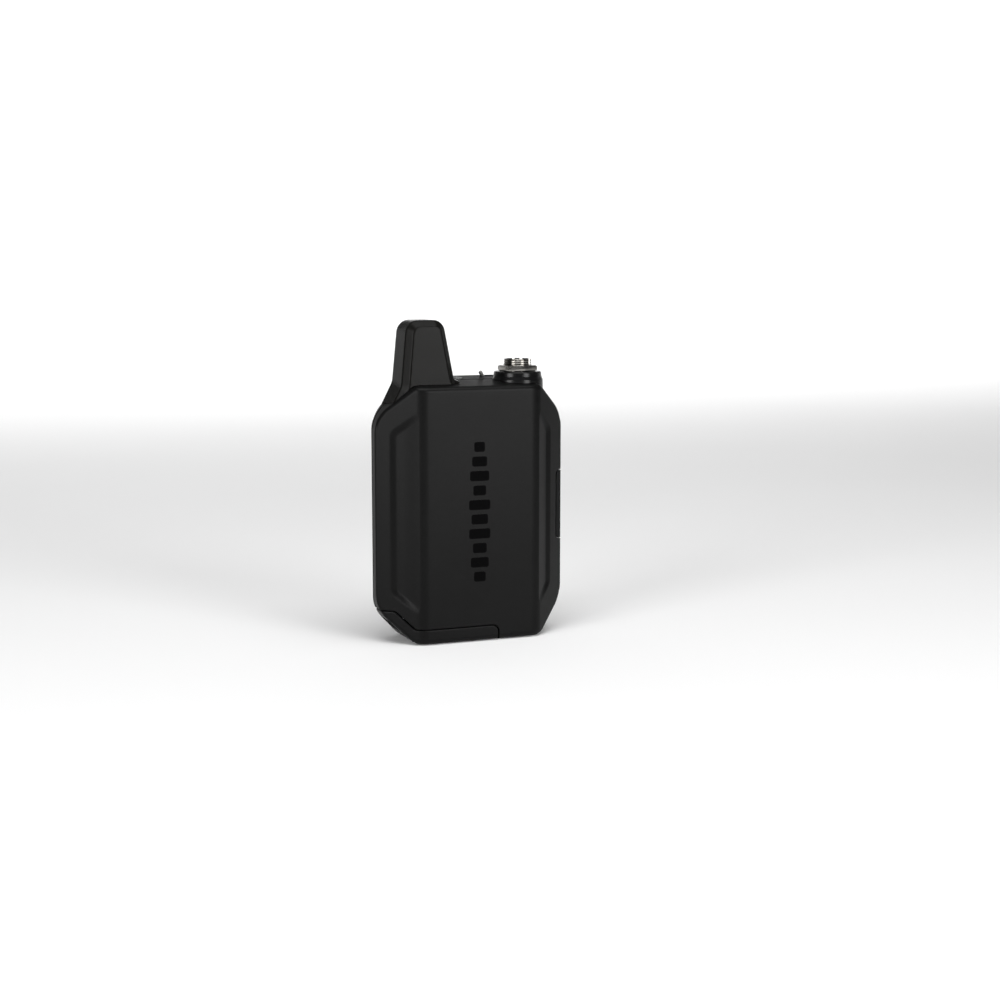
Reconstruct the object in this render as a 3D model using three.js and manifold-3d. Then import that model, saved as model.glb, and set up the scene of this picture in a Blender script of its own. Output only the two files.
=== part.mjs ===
// Bodypack transmitter for an electric guitar: a cast two-shell case with a plastic antenna stub,
// a threaded input connector, a power toggle, a side panel with charging socket and link button,
// a hinged battery door with a sliding lock, and a wire belt clip.
// Millimetres, +Z up, +X to the viewer's right, the front faces -Y.
// The origin is the centre of the case's underside.
import * as THREE from "three";
import { mergeVertices } from "three/addons/utils/BufferGeometryUtils.js";
import Module from "manifold-3d";

const wasm = await Module();
wasm.setup();

// ---------- driving dimensions ----------
const HALF_WIDTH = 33.5;
const FRONT = -11.5;
const BACK = 11.5;
const HEIGHT = 86.6; // case height on its middle plane
const TOP_SLOPE = 0.118; // rise of the case top per millimetre towards the back
const WALL = 1.6;
const GAP = 0.3; // seam between neighbouring pieces
const PARTING_Y = 1.8; // where the front shell ends and the rear shell begins
const EDGE = 1.6; // softened edge round the front and back faces

const PLATEAU = 20.4; // half width of the flat front before the flanks
const FLANK_END = -1.4; // y where a flank meets the side wall
const SIDE_BACK = 3.2; // y where the side wall meets the rear flank
const REAR_FLAT = 20; // half width of the flat back
const FLANK_ANGLE = Math.atan2(FLANK_END - FRONT, HALF_WIDTH - PLATEAU);

const FOOT = 22.4; // half width of the underside
const LOW_CORNER = 11.1; // height at which the lower chamfer meets the side
const HIGH_CORNER = 75.2; // height at which the upper chamfer meets the side
const CROWN = { x: 14.7, z: 92.1 }; // a point of the upper chamfer's plane, above the top

const DOOR_END = 6.3; // right end of the battery door
const DOOR_STRIP = 4.9; // height of the door's strip on the front
const DOOR_HIGH = 10.85; // height of the door at its free end
const HINGE = { x: 5.15, z: 1.15, barrel: 1.15, pin: 0.45, bore: 0.56 };
const LUG = { near: 7.4, far: 9.4, radius: 1.0 };

const CONNECTOR = { x: 17.8, collar: 8.05, foot: 8.65, top: 89.4, barrel: 4.7, rim: 93.6 };
const TOGGLE = { x: 9.5, y: 7.9, z: 85.2, lean: 30, length: 4.6, radius: 0.65 };
const LENS = { x: -2.3, y: 4.8, radius: 1.9, proud: 0.25 };
const PANEL = { inner: 30.95, low: 31.8, high: 55.1, backing: 30.1 };
const USB = { y: 0.9, z: 49.5, depth: 2.4, width: 6.8, back: 25.0, mouth: 33.0 };
const LINK = { y: 0.9, z: 38.8, wide: 2.8, tall: 5.6, face: 33.25 };

const BOARD = { front: 4.6, back: 6.0, left: -25.8, right: 25.8, low: 17, high: 80 };
const HOLDER = { left: -21.7, right: 6.3, front: -7.4, back: 4.2, low: 6, high: 57, wall: 0.9 };
const BATTERY_HEIGHT = 48;
const FIT = 0.3;

const CASE_SCREWS = [
  [-13.5, 64],
  [13.5, 64],
  [16, 11],
];
const BOARD_SCREWS = [
  [-24.2, 34],
  [23.8, 25],
];
const CLIP = { wire: 1.0, pivotY: 15.6, pivotZ: 72, leg: 17.4, ear: 12.2, earEnd: 14.8, out: 17.3 };

// ---------- helpers ----------
function solid(geometry) {
  const bare = geometry.clone();
  bare.deleteAttribute("normal");
  bare.deleteAttribute("uv");
  const merged = mergeVertices(bare, 1e-4);
  const vertProperties = merged.attributes.position.array;
  const triVerts = new Uint32Array(merged.index.array);
  return new wasm.Manifold(new wasm.Mesh({ numProp: 3, vertProperties, triVerts }));
}

function joined(bodies) {
  return bodies.reduce((sum, body) => sum.add(body));
}

function cut(body, tools) {
  return tools.reduce((rest, tool) => rest.subtract(tool), body);
}

// A polygon of corners [x, y, radius], anticlockwise, as a shape whose corners are arcs of a few steps.
function rounded(corners, steps = 6) {
  const points = corners.flatMap(([x, y, radius = 0], i) => {
    const here = new THREE.Vector2(x, y);
    const [px, py] = corners.at(i - 1);
    const [nx, ny] = corners[(i + 1) % corners.length];
    const before = new THREE.Vector2(px - x, py - y).normalize();
    const after = new THREE.Vector2(nx - x, ny - y).normalize();
    if (radius <= 0) return [here];
    const half = Math.acos(THREE.MathUtils.clamp(before.dot(after), -1, 1)) / 2;
    const inward = before.clone().add(after).normalize();
    const centre = here.clone().addScaledVector(inward, radius / Math.sin(half));
    const start = here.clone().addScaledVector(before, radius / Math.tan(half)).sub(centre);
    const sweep = (Math.PI - 2 * half) * Math.sign(after.cross(before));
    return Array.from({ length: steps + 1 }, (_, k) =>
      start.clone().rotateAround(new THREE.Vector2(), (sweep * k) / steps).add(centre),
    );
  });
  return new THREE.Shape(points);
}

// The polygon moved inwards by a distance, with its corner radii following.
function inset(corners, distance) {
  return corners.map(([x, y, radius = 0], i) => {
    const [px, py] = corners.at(i - 1);
    const [nx, ny] = corners[(i + 1) % corners.length];
    const a = new THREE.Vector2(py - y, x - px).normalize();
    const b = new THREE.Vector2(y - ny, nx - x).normalize();
    const k = distance / (1 + a.dot(b));
    const convex = (x - px) * (ny - y) - (y - py) * (nx - x) > 0;
    const newRadius = radius && Math.max(0.2, radius + (convex ? -distance : distance));
    return [x + (a.x + b.x) * k, y + (a.y + b.y) * k, newRadius];
  });
}

function mirrored(half) {
  const other = half.map(([x, y, radius]) => [-x, y, radius]).reverse();
  return [...half, ...other];
}

function bevels(amount, along) {
  if (!amount) return { bevelEnabled: false };
  return {
    bevelThickness: along ?? amount,
    bevelSize: amount,
    bevelOffset: -amount,
    bevelSegments: 2,
  };
}

// An outline in x and z, extruded from y0 to y1.
function slabY(shape, y0, y1, bevel = 0, curveSegments = 3) {
  const depth = y1 - y0 - 2 * bevel;
  const geometry = new THREE.ExtrudeGeometry(shape, { depth, curveSegments, ...bevels(bevel) });
  return geometry.rotateX(Math.PI / 2).translate(0, y1 - bevel, 0);
}

// An outline in x and y, extruded from z0 to z1.
function slabZ(shape, z0, z1, curveSegments = 3) {
  const settings = { depth: z1 - z0, bevelEnabled: false, curveSegments };
  return new THREE.ExtrudeGeometry(shape, settings).translate(0, 0, z0);
}

// An outline in y and z, extruded from x0 to x1.
function slabX(shape, x0, x1, curveSegments = 3, bevel = 0) {
  const depth = x1 - x0 - 2 * bevel;
  const geometry = new THREE.ExtrudeGeometry(shape, { depth, curveSegments, ...bevels(bevel) });
  const turn = new THREE.Matrix4().makeBasis(
    new THREE.Vector3(0, 1, 0),
    new THREE.Vector3(0, 0, 1),
    new THREE.Vector3(1, 0, 0),
  );
  return geometry.applyMatrix4(turn).translate(x0 + bevel, 0, 0);
}

function box([x0, x1], [y0, y1], [z0, z1]) {
  const geometry = new THREE.BoxGeometry(x1 - x0, y1 - y0, z1 - z0);
  return geometry.translate((x0 + x1) / 2, (y0 + y1) / 2, (z0 + z1) / 2);
}

function rodZ(radius, z0, z1, x = 0, y = 0, sides = 16) {
  const geometry = new THREE.CylinderGeometry(radius, radius, z1 - z0, sides);
  return geometry.rotateX(Math.PI / 2).translate(x, y, (z0 + z1) / 2);
}

function rodY(radius, y0, y1, x, z, sides = 16) {
  const geometry = new THREE.CylinderGeometry(radius, radius, y1 - y0, sides);
  return geometry.translate(x, (y0 + y1) / 2, z);
}

function rodX(radius, x0, x1, y, z, sides = 16) {
  const geometry = new THREE.CylinderGeometry(radius, radius, x1 - x0, sides);
  return geometry.rotateZ(Math.PI / 2).translate((x0 + x1) / 2, y, z);
}

// A turned profile of [radius, z] points, closed on itself or on the axis.
function turned(profile, x, y, sides = 28) {
  const points = profile.map(([radius, z]) => new THREE.Vector2(radius, z));
  return new THREE.LatheGeometry([...points, points[0]], sides).rotateX(Math.PI / 2).translate(x, y, 0);
}

function rectangle(x0, x1, y0, y1, radius = 0) {
  return rounded([
    [x0, y0, radius],
    [x1, y0, radius],
    [x1, y1, radius],
    [x0, y1, radius],
  ]);
}

// ---------- materials ----------
const finish = (color, roughness, metalness = 0) =>
  new THREE.MeshStandardMaterial({ color, roughness, metalness });
const LOOKS = {
  coat: () => finish(0x26272a, 0.5, 0.2),
  plastic: () => finish(0x18191b, 0.38),
  gloss: () => finish(0x0c0c0e, 0.15),
  nickel: () => finish(0xb9b4ac, 0.25, 1),
  steel: () => finish(0x6f7072, 0.35, 1),
  gold: () => finish(0xc9a24b, 0.3, 1),
  board: () => finish(0x14532d, 0.6),
  chip: () => finish(0x1b1c1e, 0.55),
  battery: () => finish(0x303236, 0.6),
  lens: () => finish(0x9fb7a5, 0.2),
  lever: () => finish(0x8f8f8c, 0.45),
};

const transmitter = new THREE.Group();
transmitter.name = "bodypack_transmitter";

function addPart(name, shape, look) {
  let geometry = shape;
  if (!shape.isBufferGeometry) {
    const made = shape.getMesh();
    geometry = new THREE.BufferGeometry()
      .setAttribute("position", new THREE.BufferAttribute(made.vertProperties, 3))
      .setIndex(new THREE.BufferAttribute(made.triVerts, 1))
      .toNonIndexed();
    geometry.computeVertexNormals();
  }
  const mesh = new THREE.Mesh(geometry, LOOKS[look]());
  mesh.name = name;
  transmitter.add(mesh);
  return mesh;
}

// ---------- the case's form ----------
const SECTION = mirrored([
  [PLATEAU, FRONT, 7],
  [HALF_WIDTH, FLANK_END, 1],
  [HALF_WIDTH, SIDE_BACK, 2],
  [REAR_FLAT, BACK, 4],
]);
const OUTLINE = mirrored([
  [FOOT, 0, 5],
  [HALF_WIDTH, LOW_CORNER, 12],
  [HALF_WIDTH, HIGH_CORNER, 12],
  [CROWN.x, CROWN.z],
]);

// Everything below the sloping top, lowered by a distance.
function underTop(distance) {
  const block = new THREE.BoxGeometry(100, 80, 120).translate(0, 0, -60);
  block.rotateX(Math.atan(TOP_SLOPE)).translate(0, 0, HEIGHT - distance * Math.hypot(1, TOP_SLOPE));
  return solid(block);
}

// The case's outer form, moved inwards by a distance.
function form(distance) {
  const column = solid(slabZ(rounded(inset(SECTION, distance)), -2, HEIGHT + 8));
  const outline = rounded(inset(OUTLINE, distance));
  const slab = solid(slabY(outline, FRONT + distance, BACK - distance, distance ? 0.4 : EDGE));
  return column.intersect(slab).intersect(underTop(distance));
}

const outer = form(0);
const cavity = form(WALL);
const wall = outer.subtract(cavity);
const clearOfCase = form(-GAP);

// Shallow pressed panel on one flank of the front.
function flankPocket(side) {
  const reach = 30;
  const depth = 0.6;
  const [edge, start] = side > 0 ? [26.5, 21.1] : [28.5, 21.8];
  const face = rounded([
    [18, 11.5],
    [start, 11.5],
    [edge, 17.2, 2],
    [edge, 70.0, 2],
    [start, 75.8],
    [18, 75.8],
  ]);
  const prism = solid(slabY(face, FRONT - 2, 6));
  const across = 6;
  const lift = reach / 2 - depth;
  const x = PLATEAU + across * Math.cos(FLANK_ANGLE) + lift * Math.sin(FLANK_ANGLE);
  const y = FRONT + across * Math.sin(FLANK_ANGLE) - lift * Math.cos(FLANK_ANGLE);
  const block = new THREE.BoxGeometry(2 * reach, reach, 100).rotateZ(FLANK_ANGLE).translate(x, y, 44);
  const pocket = prism.intersect(solid(block));
  return side > 0 ? pocket : pocket.mirror([1, 0, 0]);
}

// ---------- battery door region ----------
const DOOR_PROFILE = [
  [DOOR_END, 0, HINGE.barrel],
  [DOOR_END, DOOR_STRIP, 2.2],
  [-22.6, DOOR_STRIP, 2],
  [-28.2, DOOR_HIGH, 2],
  [-36, DOOR_HIGH],
  [-36, 0],
];
const doorOpening = solid(
  slabY(
    rounded(
      inset(
        DOOR_PROFILE.map(([x, z, radius]) => (z ? [x, z, radius] : [x, -3])),
        -GAP,
      ),
    ),
    FRONT - 1,
    BACK + 1,
  ),
);
const panelShape = (grow) =>
  rounded([
    [PANEL.inner - grow, PANEL.low - grow, 1.5 + grow],
    [40, PANEL.low - grow],
    [40, PANEL.high + grow],
    [PANEL.inner - grow, PANEL.high + grow, 1.5 + grow],
  ]);
const panelOpening = solid(slabY(panelShape(GAP), FRONT - 1, BACK + 1));

const antennaSlot = solid(box([-21.8, -11.2], [-3.5, 0.9], [80, 90]));
const connectorHole = solid(rodZ(5, 80, 95, CONNECTOR.x, 0, 28));

// ---------- front and rear shells ----------
function screwPost(x, z, y0, y1, radius, bore, depth) {
  const post = solid(rodY(radius, y0, y1, x, z));
  return post.subtract(solid(rodY(bore, y1 - depth, y1 + 1, x, z, 12)));
}

function hingeLug(side) {
  const near = side * LUG.near;
  const far = side * LUG.far;
  const [y0, y1] = [Math.min(near, far), Math.max(near, far)];
  const tongue = solid(box([HINGE.x, 8.6], [y0, y1], [HINGE.z - LUG.radius, HINGE.z + LUG.radius]));
  const eye = solid(rodY(LUG.radius, y0, y1, HINGE.x, HINGE.z));
  const bore = solid(rodY(HINGE.bore, y0 - 1, y1 + 1, HINGE.x, HINGE.z, 12));
  return tongue.add(eye).subtract(bore);
}

const frontHalf = solid(box([-60, 60], [-40, PARTING_Y], [-10, 120]));
const rearHalf = solid(box([-60, 60], [PARTING_Y + GAP, 40], [-10, 120]));
const caseWall = cut(wall, [
  doorOpening,
  panelOpening,
  flankPocket(1),
  flankPocket(-1),
  antennaSlot,
  connectorHole,
]);

const insideCoat = form(WALL - GAP);
const frontPosts = CASE_SCREWS.map(([x, z]) => screwPost(x, z, -11, PARTING_Y, 2.4, 1.0, 6))
  .map((post) => post.intersect(insideCoat));
addPart("front_shell", joined([caseWall.intersect(frontHalf), ...frontPosts, hingeLug(-1)]), "coat");

function ear(side) {
  const [x0, x1] = side > 0 ? [CLIP.ear, CLIP.earEnd] : [-CLIP.earEnd, -CLIP.ear];
  const profile = rounded([
    [BACK - 1, CLIP.pivotZ - 4.6],
    [CLIP.pivotY + 2, CLIP.pivotZ - 2, 1.9],
    [CLIP.pivotY + 2, CLIP.pivotZ + 2, 1.9],
    [BACK - 1, CLIP.pivotZ + 4.6],
  ]);
  const bore = rodX(CLIP.wire + 0.14, x0 - 1, x1 + 1, CLIP.pivotY, CLIP.pivotZ);
  return solid(slabX(profile, x0, x1)).subtract(solid(bore));
}

const toggleSlot = solid(
  box([TOGGLE.x - 2.6, TOGGLE.x + 2.6], [TOGGLE.y - 0.95, TOGGLE.y + 0.95], [83, 92]),
);
const lensHole = solid(rodZ(LENS.radius + GAP, 80, 92, LENS.x, LENS.y, 24));
const screwSinks = CASE_SCREWS.map(([x, z]) => solid(rodY(2.2, BACK - 1.3, BACK + 1, x, z, 20)));
const screwWays = CASE_SCREWS.map(([x, z]) => solid(rodY(1.2, 0, BACK, x, z, 12)));
const rearPosts = CASE_SCREWS.map(([x, z]) => solid(rodY(3, PARTING_Y + GAP, BACK - 0.5, x, z)));
const boardPosts = BOARD_SCREWS.map(([x, z]) => screwPost(x, z, -10.4, -BOARD.back - GAP, 2, 0.9, 1.5))
  .map((post) => post.mirror([0, 1, 0]))
  .map((post) => post.intersect(insideCoat));
const rearWall = caseWall.intersect(rearHalf);
const rearBody = joined([rearWall, ...rearPosts, ...boardPosts, ear(1), ear(-1), hingeLug(1)]);
const boardBores = BOARD_SCREWS.map(([x, z]) => solid(rodY(0.9, 6, 7.8, x, z, 12)));
const labelRecess = solid(slabY(rectangle(-11, 11, 36, 62, 1.5), BACK - 0.3, BACK + 1));
const rearHoles = [toggleSlot, lensHole, labelRecess, ...screwSinks, ...screwWays, ...boardBores];
addPart("rear_shell", cut(rearBody, rearHoles), "coat");

CASE_SCREWS.forEach(([x, z], i) => {
  const head = solid(rodY(1.9, BACK - 1.1, BACK - 0.1, x, z, 20));
  const shank = solid(rodY(0.85, -3.9, BACK - 1, x, z, 12));
  const drive = solid(rodY(0.8, BACK - 0.7, BACK + 1, x, z, 6));
  addPart(`case_screw_${i + 1}`, head.add(shank).subtract(drive), "steel");
});

// ---------- antenna ----------
const ANTENNA = [
  [-29.5, 78],
  [-4.9, 78],
  [-4.9, 87.2],
  [-6.9, 87.8, 1.8],
  [-10.8, 107, 4],
  [-23.4, 107, 4.5],
  [-25.4, 86, 6],
];

// Slants the antenna's foot along the sloping top, fading out below its tip.
function footed(geometry) {
  const place = geometry.attributes.position;
  for (let i = 0; i < place.count; i++) {
    const share = THREE.MathUtils.clamp((103 - place.getZ(i)) / (103 - 88.3), 0, 1);
    place.setZ(i, place.getZ(i) + TOP_SLOPE * place.getY(i) * share);
  }
  return geometry;
}

const antennaForm = solid(footed(slabY(rounded(ANTENNA), -7, 7, 1.8)));
const antennaInner = solid(footed(slabY(rounded(inset(ANTENNA, WALL)), -5.4, 5.4)));
const spigot = solid(box([-21.5, -11.5], [-3.2, 0.6], [82.8, 88.4]));
const spigotHole = solid(box([-20.3, -12.7], [-2.2, -0.4], [80, 92]));
const antennaHollow = antennaInner.subtract(form(-GAP - WALL));
const antennaColumn = solid(slabZ(rounded(inset(SECTION, 0.4)), 70, 120));
const antennaOutside = antennaForm.intersect(antennaColumn);
const antennaBody = cut(antennaOutside, [clearOfCase, antennaHollow]).add(spigot).subtract(spigotHole);
addPart("antenna_cover", antennaBody, "plastic");
addPart("antenna_strip", box([-19.9, -13.1], [-1.8, -0.8], [79.5, 104]), "board");
const contactFoot = solid(box([-17.4, -15.6], [-0.5, 4.3], [77.2, 77.8]));
const contactBlade = solid(box([-17.4, -15.6], [-0.5, 0.1], [77.2, 82.2]));
addPart("antenna_contact", contactFoot.add(contactBlade), "gold");

// ---------- input connector ----------
const { x: cx, barrel: barrelRadius, rim } = CONNECTOR;
const collarRing = solid(
  turned(
    [
      [5.0, 83],
      [CONNECTOR.foot, 83],
      [CONNECTOR.foot, 86.4],
      [CONNECTOR.collar + 0.15, 87.6],
      [CONNECTOR.collar, CONNECTOR.top - 0.5],
      [CONNECTOR.collar - 0.5, CONNECTOR.top],
      [5.0, CONNECTOR.top],
    ],
    cx,
    0,
    32,
  ),
);
addPart("connector_collar", collarRing.subtract(clearOfCase), "gloss");

const nutBlock = solid(rodZ(6.7, CONNECTOR.top + 0.1, 91.4, cx, 0, 6));
addPart("connector_nut", nutBlock.subtract(solid(rodZ(barrelRadius + 0.12, 85, 95, cx, 0, 28))), "nickel");

const barrelBody = solid(
  turned(
    [
      [3.9, 79.9],
      [5.8, 79.9],
      [5.8, 81.5],
      [barrelRadius, 81.5],
      [barrelRadius, rim - 0.4],
      [barrelRadius - 0.4, rim],
      [3.9, rim],
    ],
    cx,
    0,
  ),
);
const keyway = solid(box([cx + 2.6, cx + 3.9], [-5.4, -2.2], [91.6, 95]));
addPart("connector_barrel", barrelBody.subtract(keyway), "nickel");

const PIN_CIRCLE = 2.1;
const pinPlaces = [45, 135, 225, 315].map((angle) => {
  const turn = THREE.MathUtils.degToRad(angle);
  return [cx + PIN_CIRCLE * Math.cos(turn), PIN_CIRCLE * Math.sin(turn)];
});
const insertDisc = solid(rodZ(3.7, 80.4, 86.6, cx, 0, 24));
const insertHoles = pinPlaces.map(([x, y]) => solid(rodZ(0.7, 79, 88, x, y, 10)));
addPart("connector_insert", cut(insertDisc, insertHoles), "gloss");
pinPlaces.forEach(([x, y], i) => addPart(`connector_pin_${i + 1}`, rodZ(0.5, 77.4, 91, x, y, 10), "gold"));
const tailDisc = solid(rodZ(4.2, 78.2, 79.6, cx, 0, 24));
const tailHoles = pinPlaces.map(([x, y]) => solid(rodZ(0.7, 77, 81, x, y, 10)));
addPart("connector_board", cut(tailDisc, tailHoles), "board");

// ---------- power toggle ----------
addPart("power_switch_body", box([TOGGLE.x - 3, TOGGLE.x + 3], [6.3, 9.5], [77.5, 84]), "chip");
const bat = new THREE.CylinderGeometry(TOGGLE.radius, TOGGLE.radius * 0.85, TOGGLE.length, 12)
  .rotateX(Math.PI / 2)
  .translate(0, 0, TOGGLE.length / 2);
const leverBody = solid(bat).add(solid(new THREE.SphereGeometry(0.95, 12, 8)));
const lever = addPart("power_switch_lever", leverBody, "lever");
lever.position.set(TOGGLE.x, TOGGLE.y, TOGGLE.z);
lever.rotation.y = -THREE.MathUtils.degToRad(TOGGLE.lean);

// ---------- status light ----------
const lensHead = solid(rodZ(LENS.radius, 84.4, 92, LENS.x, LENS.y, 24)).intersect(form(-LENS.proud));
const lensStem = solid(rodZ(1.2, 81.2, 85, LENS.x, 3.7, 16));
addPart("status_light_pipe", lensHead.add(lensStem), "lens");
addPart("status_led", box([LENS.x - 1, LENS.x + 1], [2.8, 4.3], [79.2, 80.9]), "lens");

// ---------- side panel: charging socket and link button ----------
const backing = solid(box([PANEL.backing, 32.2], [-1.1, 2.7], [32.6, 54.3]));
const usbMouth = solid(
  slabX(
    rectangle(
      USB.y - USB.depth / 2 - 0.2,
      USB.y + USB.depth / 2 + 0.2,
      USB.z - USB.width / 2 - 0.2,
      USB.z + USB.width / 2 + 0.2,
      0.7,
    ),
    29,
    36,
  ),
);
const stadium = (grow) =>
  rectangle(
    LINK.y - LINK.wide / 2 - grow,
    LINK.y + LINK.wide / 2 + grow,
    LINK.z - LINK.tall / 2 - grow,
    LINK.z + LINK.tall / 2 + grow,
    LINK.wide / 2 + grow - 0.15,
  );
const linkHole = solid(slabX(stadium(0.15), 29, 36));
const panelWall = wall.intersect(solid(slabY(panelShape(0), FRONT - 1, BACK + 1)));
addPart("side_panel", cut(panelWall.add(backing), [usbMouth, linkHole]), "plastic");

const usbOuter = rectangle(
  USB.y - USB.depth / 2,
  USB.y + USB.depth / 2,
  USB.z - USB.width / 2,
  USB.z + USB.width / 2,
  0.6,
);
const usbInner = rectangle(
  USB.y - USB.depth / 2 + 0.3,
  USB.y + USB.depth / 2 - 0.3,
  USB.z - USB.width / 2 + 0.3,
  USB.z + USB.width / 2 - 0.3,
  0.4,
);
const usbShell = solid(slabX(usbOuter, USB.back, USB.mouth));
const usbFeet = [-3.1, 2.3].map((rise) => {
  const z = USB.z + rise;
  return solid(box([25.1, 25.7], [USB.y + 1, 4.3], [z, z + 0.8]));
});
const usbCan = usbShell.subtract(solid(slabX(usbInner, USB.back + 0.5, 40)));
addPart("usb_shell", joined([usbCan, ...usbFeet]), "nickel");
const tongueLength = [USB.back + 0.8, USB.mouth - 0.8];
addPart("usb_tongue", box(tongueLength, [USB.y - 0.3, USB.y + 0.3], [USB.z - 2, USB.z + 2]), "chip");

const linkCap = solid(slabX(stadium(0), 29.3, LINK.face, 4, 0.25));
const linkFlange = solid(box([28.7, 29.6], [-0.9, 2.7], [LINK.z - 3.5, LINK.z + 3.5]));
addPart("link_button", linkCap.add(linkFlange), "gloss");
const switchBase = solid(box([25.1, 27.5], [0, 4.3], [LINK.z - 2.4, LINK.z + 2.4]));
const switchPlunger = solid(rodX(0.9, 27.2, 28.2, LINK.y, LINK.z, 12));
addPart("link_switch", switchBase.add(switchPlunger), "chip");

// ---------- electronics ----------
const boardPlate = solid(
  slabY(
    rounded([
      [BOARD.left, BOARD.low, 2],
      [BOARD.right, BOARD.low, 2],
      [BOARD.right, 69, 1.5],
      [9.5, 69],
      [9.5, BOARD.high, 1],
      [-24, BOARD.high, 2],
      [BOARD.left, 76, 1],
    ]),
    BOARD.front,
    BOARD.back,
  ),
);
const boardNotches = CASE_SCREWS.map(([x, z]) => solid(rodY(3.4, 3, 8, x, z, 20)));
const boardHoles = BOARD_SCREWS.map(([x, z]) => solid(rodY(1.15, 3, 8, x, z, 12)));
addPart("main_board", cut(boardPlate, [...boardNotches, ...boardHoles]), "board");
BOARD_SCREWS.forEach(([x, z], i) => {
  const head = solid(rodY(1.7, 3.2, 4.3, x, z));
  const shank = solid(rodY(0.75, 4, 7.6, x, z, 10));
  const drive = solid(rodY(0.7, 2.8, 3.8, x, z, 6));
  addPart(`board_screw_${i + 1}`, head.add(shank).subtract(drive), "steel");
});
const rearParts = BOARD.back + GAP;
addPart("radio_shield", box([-20, -2], [rearParts, rearParts + 2.2], [37.5, 59.5]), "steel");
addPart("processor_chip", box([2, 12], [rearParts, rearParts + 1.2], [42, 52]), "chip");
addPart("audio_chip", box([2, 8], [rearParts, rearParts + 1.2], [57, 63]), "chip");
addPart("charger_chip", box([13, 18], [rearParts, rearParts + 1.2], [31, 36]), "chip");

// ---------- battery compartment ----------
const holderShape = (shrink) =>
  rectangle(HOLDER.left + shrink, HOLDER.right - shrink, HOLDER.front + shrink, HOLDER.back - shrink, 1.2);
const holderBody = solid(slabZ(holderShape(0), HOLDER.low, HOLDER.high));
const holderBay = solid(slabZ(holderShape(HOLDER.wall), HOLDER.low - 2, HOLDER.high - 1.4));
const CONTACTS = [-14, -8, -2];
const contactSlots = CONTACTS.map((x) => solid(box([x - 1.6, x + 1.6], [-4, 1], [50, 60])));
addPart("battery_holder", cut(holderBody, [holderBay, ...contactSlots]), "plastic");
const packShape = holderShape(HOLDER.wall + FIT);
const packBottom = HOLDER.low + 0.2;
addPart("battery_pack", slabZ(packShape, packBottom, packBottom + BATTERY_HEIGHT), "battery");
CONTACTS.forEach((x, i) => {
  const top = solid(box([x - 1.1, x + 1.1], [-2.6, 4.2], [58.2, 58.7]));
  const stalk = solid(box([x - 1.1, x + 1.1], [-2.6, -2.1], [55.6, 58.7]));
  const touch = solid(box([x - 1.1, x + 1.1], [-2.6, 0.4], [55, 55.5]));
  const bend = solid(box([x - 1.1, x + 1.1], [-2.6, -2.1], [55, 56]));
  addPart(`battery_contact_${i + 1}`, joined([top, stalk, bend, touch]), "gold");
});

// ---------- battery door, its pin and its lock ----------
const LOCK = { length: 4.8, pad: 5.6, y: -0.9, travel: 2.5 };
// The lock's own frame: x along the chamfer, y along the case's depth, z outwards.
const chamferMiddle = new THREE.Vector3(-(FOOT + HALF_WIDTH) / 2, 0, LOW_CORNER / 2);
const chamferFrame = new THREE.Matrix4()
  .makeBasis(
    new THREE.Vector3(-Math.SQRT1_2, 0, Math.SQRT1_2),
    new THREE.Vector3(0, -1, 0),
    new THREE.Vector3(Math.SQRT1_2, 0, Math.SQRT1_2),
  )
  .setPosition(chamferMiddle);
const onChamfer = (geometry) => solid(geometry.applyMatrix4(chamferFrame));
// In this frame the case's depth axis is reversed and z runs into the case.
const lockBox = (half, [y0, y1], [z0, z1]) => onChamfer(box([-half, half], [-y1, -y0], [z0, z1]));

const padStart = LOCK.y - LOCK.length / 2;
const padEnd = LOCK.y + LOCK.length / 2;
const lockRecess = lockBox(LOCK.pad / 2 + 0.3, [padStart - 0.3, padEnd + LOCK.travel + 0.3], [-1, 0.9]);
const lockSlot = lockBox(1.2, [LOCK.y - 1.2, LOCK.y + 4], [-1, 4]);

const doorProfile = solid(slabY(rounded(DOOR_PROFILE), FRONT - 1, BACK + 1));
const hingeBarrel = solid(rodY(HINGE.barrel, -LUG.near + GAP, LUG.near - GAP, HINGE.x, HINGE.z));
const hingeBore = solid(rodY(HINGE.bore, -LUG.far - 1, LUG.far + 1, HINGE.x, HINGE.z, 12));
const lugNotches = [-1, 1].map((side) => {
  const y = [side * (LUG.near - GAP), side * (LUG.far + GAP)].sort((a, b) => a - b);
  return solid(box([3.7, 8], y, [-2, 4.6]));
});
const doorWall = wall.intersect(doorProfile).subtract(solid(box([4.3, 8], [-7, 7], [1.6, 6])));
const doorBody = cut(doorWall.add(hingeBarrel), [hingeBore, ...lugNotches, lockRecess, lockSlot]);
addPart("battery_door", doorBody, "coat");
addPart("door_hinge_pin", rodY(HINGE.pin, -9.2, 9.2, HINGE.x, HINGE.z, 10), "steel");

const lockPad = lockBox(LOCK.pad / 2, [padStart, padEnd], [0.05, 0.65]);
const lockRibs = [-1.6, 0, 1.6].map((offset) =>
  lockBox(LOCK.pad / 2 - 0.6, [LOCK.y + offset - 0.3, LOCK.y + offset + 0.3], [-0.12, 0.3]),
);
const lockStem = lockBox(0.9, [LOCK.y - 0.9, LOCK.y + 1.4], [0.3, 2.4]);
const lockPlate = lockBox(2.5, [LOCK.y - 1.8, LOCK.y + 2.4], [1.95, 2.75]);
addPart("door_lock", joined([lockPad, ...lockRibs, lockStem, lockPlate]), "plastic");

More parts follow.
